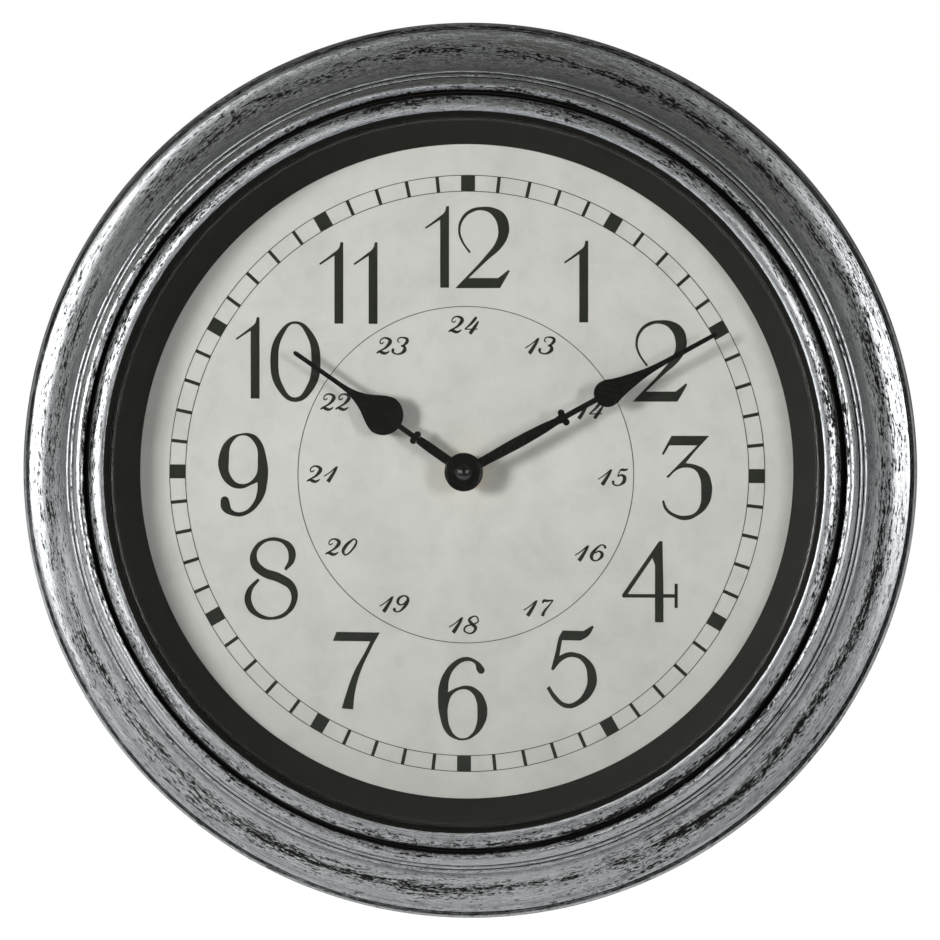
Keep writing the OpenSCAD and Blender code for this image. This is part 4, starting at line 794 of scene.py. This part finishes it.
slantPlaces = [("1", 20.6, 40.3), ("3", 24.3, 40.3), ("1", 37.3, 18.3), ("4", 41.2, 18.3),
               ("1", 45.2, -4.0), ("5", 49.2, -4.2), ("1", 37.4, -29.7), ("6", 41.9, -29.6),
               ("1", 20.0, -48.3), ("7", 25.2, -48.5), ("1", -5.2, -54.1), ("8", -1.0, -54.3),
               ("1", -28.8, -47.1), ("9", -25.0, -47.1), ("2", -47.9, -27.8), ("0", -42.3, -27.9),
               ("2", -54.2, -3.1), ("1", -47.7, -3.1), ("2", -49.6, 21.3), ("2", -44.5, 21.3),
               ("2", -30.5, 40.3), ("3", -25.4, 40.2), ("2", -6.1, 47.5), ("4", -0.9, 46.9)]


def spread(points, t, i):            # smooth pen path through the given points
    last = len(points) - 1
    a, b, c, d = (Vector(points[min(max(k, 0), last)]) for k in (i - 1, i, i + 1, i + 2))
    return 0.5 * (2 * b + (c - a) * t + (2 * a - 5 * b + 4 * c - d) * t * t
                  + (3 * b - a - 3 * c + d) * t ** 3)


def slantNumerals(name, places, grid, s):
    verts, faces, steps = [], [], s["steps"]
    for figure, left, low in places:
        for stroke in slantStrokes[figure]:
            path = [spread(stroke, k / steps, i) for i in range(len(stroke) - 1) for k in range(steps)]
            path.append(Vector(stroke[-1]))
            first = len(verts)
            for i, spot in enumerate(path):
                along = path[min(i + 1, len(path) - 1)] - path[max(i - 1, 0)]
                aside = Vector((-along.y, along.x)).normalized() * (s["line"] + s["swell"] * spot.z)
                for side, height in ((1, inkHigh), (-1, inkHigh), (-1, inkLow), (1, inkLow)):
                    verts.append(place(left + (spot.x + side * aside.x) * grid,
                                       low + (spot.y + side * aside.y) * grid, height))
            for i in range(len(path) - 1):
                n = first + 4 * i
                faces += [(n + k, n + (k + 1) % 4, n + (k + 1) % 4 + 4, n + k + 4) for k in range(4)]
            faces += [tuple(first + k for k in range(4)), tuple(len(verts) - 4 + k for k in (3, 2, 1, 0))]
    mesh = bpy.data.meshes.new(name)
    mesh.from_pydata(verts, [], faces)
    mesh.materials.append(ink)
    return outward(mesh)


addPiece("slantNumerals", printPlaced(slantNumerals("slantNumerals", slantPlaces, numeralGrid, slantSizes),
         printSizes["slantCentre"]), "case")
print("small numerals printed")

# Camera
cameraSizes = {"azimuth": 3.65, "elevation": 1.0, "distance": 1600.0, "lens": 179.9, "aim": (0.80, 0.36, 8.5)}


def makeCamera(s):
    turn, rise = math.radians(s["azimuth"]), math.radians(s["elevation"])
    aim = place(*s["aim"])
    away = Vector((math.sin(turn) * math.cos(rise), -math.cos(turn) * math.cos(rise), math.sin(rise)))
    camera = bpy.data.objects.new("camera", bpy.data.cameras.new("camera"))
    camera.data.lens = s["lens"]
    camera.location = aim + away * s["distance"] * mm
    camera.rotation_euler = (-away).to_track_quat("-Z", "Y").to_euler()
    bpy.context.collection.objects.link(camera)
    bpy.context.scene.camera = camera


makeCamera(cameraSizes)

# Lamps in front: place, width and height in metres, radiance, and if it is only mirrored or only gives light
lampSizes = {"softBoxLeft": ((-0.8, -1.3, 0.11), 0.96, 0.58, 4.0, True),
             "softBoxRight": ((0.83, -1.3, 0.12), 0.86, 0.56, 3.2, True),
             "keyLeft": ((-1.4, -1.3, 0.2), 0.6, 0.6, 38.0, False),
             "keyRight": ((1.1, -1.3, 0.2), 0.36, 0.6, 19.5, False)}


def makeLamp(name, centre, width, height, radiance, mirrored):
    lamp = bpy.data.lights.new(name, "AREA")
    lamp.shape = "RECTANGLE"
    lamp.size, lamp.size_y = width, height
    lamp.energy = radiance * width * height * math.pi
    box = bpy.data.objects.new(name, lamp)
    box.location = centre
    box.rotation_euler = (math.pi / 2, 0, 0)
    box.visible_camera = False
    box.visible_glossy = mirrored
    box.visible_diffuse = not mirrored
    bpy.context.collection.objects.link(box)


for name, sizes in lampSizes.items():
    makeLamp(name, *sizes)

# Studio: the camera sees white. Gloss sees a dark room with pale sides and a glint far behind, and dull
# surfaces are lit by a share of the room and by white behind
white = (1, 1, 1, 1)
studioSizes = {"height": (-0.8, 0.8), "wide": (0.0, 0.5), "narrow": (0.8, 0.97), "backShare": 0.25,
               "sides": (0.7, 1.0, 0.0, 0.35), "front": (0.0, 0.4, 1.0, 0.0), "roomShare": 0.35,
               "room": [(0.0, (0.22, 0.23, 0.25)), (0.33, (0.20, 0.21, 0.225)), (0.5, (0.055, 0.055, 0.055)),
                        (0.68, (0.085, 0.086, 0.072)), (1.0, (0.10, 0.10, 0.09))]}


def makeStudio(s):
    world = bpy.data.worlds.new("studio")
    bpy.context.scene.world = world
    world.use_nodes = True
    tree = world.node_tree
    direction = put(tree, "ShaderNodeTexCoord").outputs["Generated"]
    axes = put(tree, "ShaderNodeSeparateXYZ", {0: direction}).outputs
    path = put(tree, "ShaderNodeLightPath").outputs
    room = ramp(tree, span(tree, axes[2], *s["height"]), s["room"])
    sides = span(tree, maths(tree, "ABSOLUTE", axes[0]), *s["sides"])
    glints = mix(tree, maths(tree, "MULTIPLY", sides, span(tree, axes[1], *s["front"])), room, white)
    dim = put(tree, "ShaderNodeVectorMath", {0: room, "Scale": s["roomShare"]}, operation="SCALE").outputs[0]
    ahead = mix(tree, path["Is Diffuse Ray"], glints, dim)
    mirrored = maths(tree, "MULTIPLY", span(tree, axes[1], *s["narrow"]), s["backShare"])
    behind = mixValue(tree, path["Is Diffuse Ray"], mirrored, span(tree, axes[1], *s["wide"]))
    studio = mix(tree, behind, ahead, white)
    shown = mix(tree, path["Is Camera Ray"], studio, white)
    tree.links.new(shown, tree.nodes["Background"].inputs["Color"])


makeStudio(studioSizes)

# Floor below the clock, in metres. It glows where the camera sees it, straight or through the glass
floorSizes = {"side": 4, "front": -0.4, "back": 6, "height": -0.3, "grey": 0.85, "rough": 0.9, "glow": 0.75}


def makeFloor(s):
    mesh = bpy.data.meshes.new("floor")
    signs = ((-1, "front"), (1, "front"), (1, "back"), (-1, "back"))
    mesh.from_pydata([(sign * s["side"], s[edge], s["height"]) for sign, edge in signs], [], [(0, 1, 2, 3)])
    finish, tree, shader = newFinish("floorWhite")[:3]
    shader.inputs["Base Color"].default_value = (s["grey"], s["grey"], s["grey"], 1)
    shader.inputs["Roughness"].default_value = s["rough"]
    shader.inputs["Emission Color"].default_value = white
    path = put(tree, "ShaderNodeLightPath").outputs
    seen = maths(tree, "MAXIMUM", path["Is Camera Ray"], path["Is Transmission Ray"])
    tree.links.new(maths(tree, "MULTIPLY", seen, s["glow"]), shader.inputs["Emission Strength"])
    mesh.materials.append(finish)
    piece = bpy.data.objects.new("floor", mesh)
    bpy.context.collection.objects.link(piece)
    return piece


floor = makeFloor(floorSizes)
print("camera, lamps and studio set")

bpy.context.scene.view_settings.view_transform = "Standard"
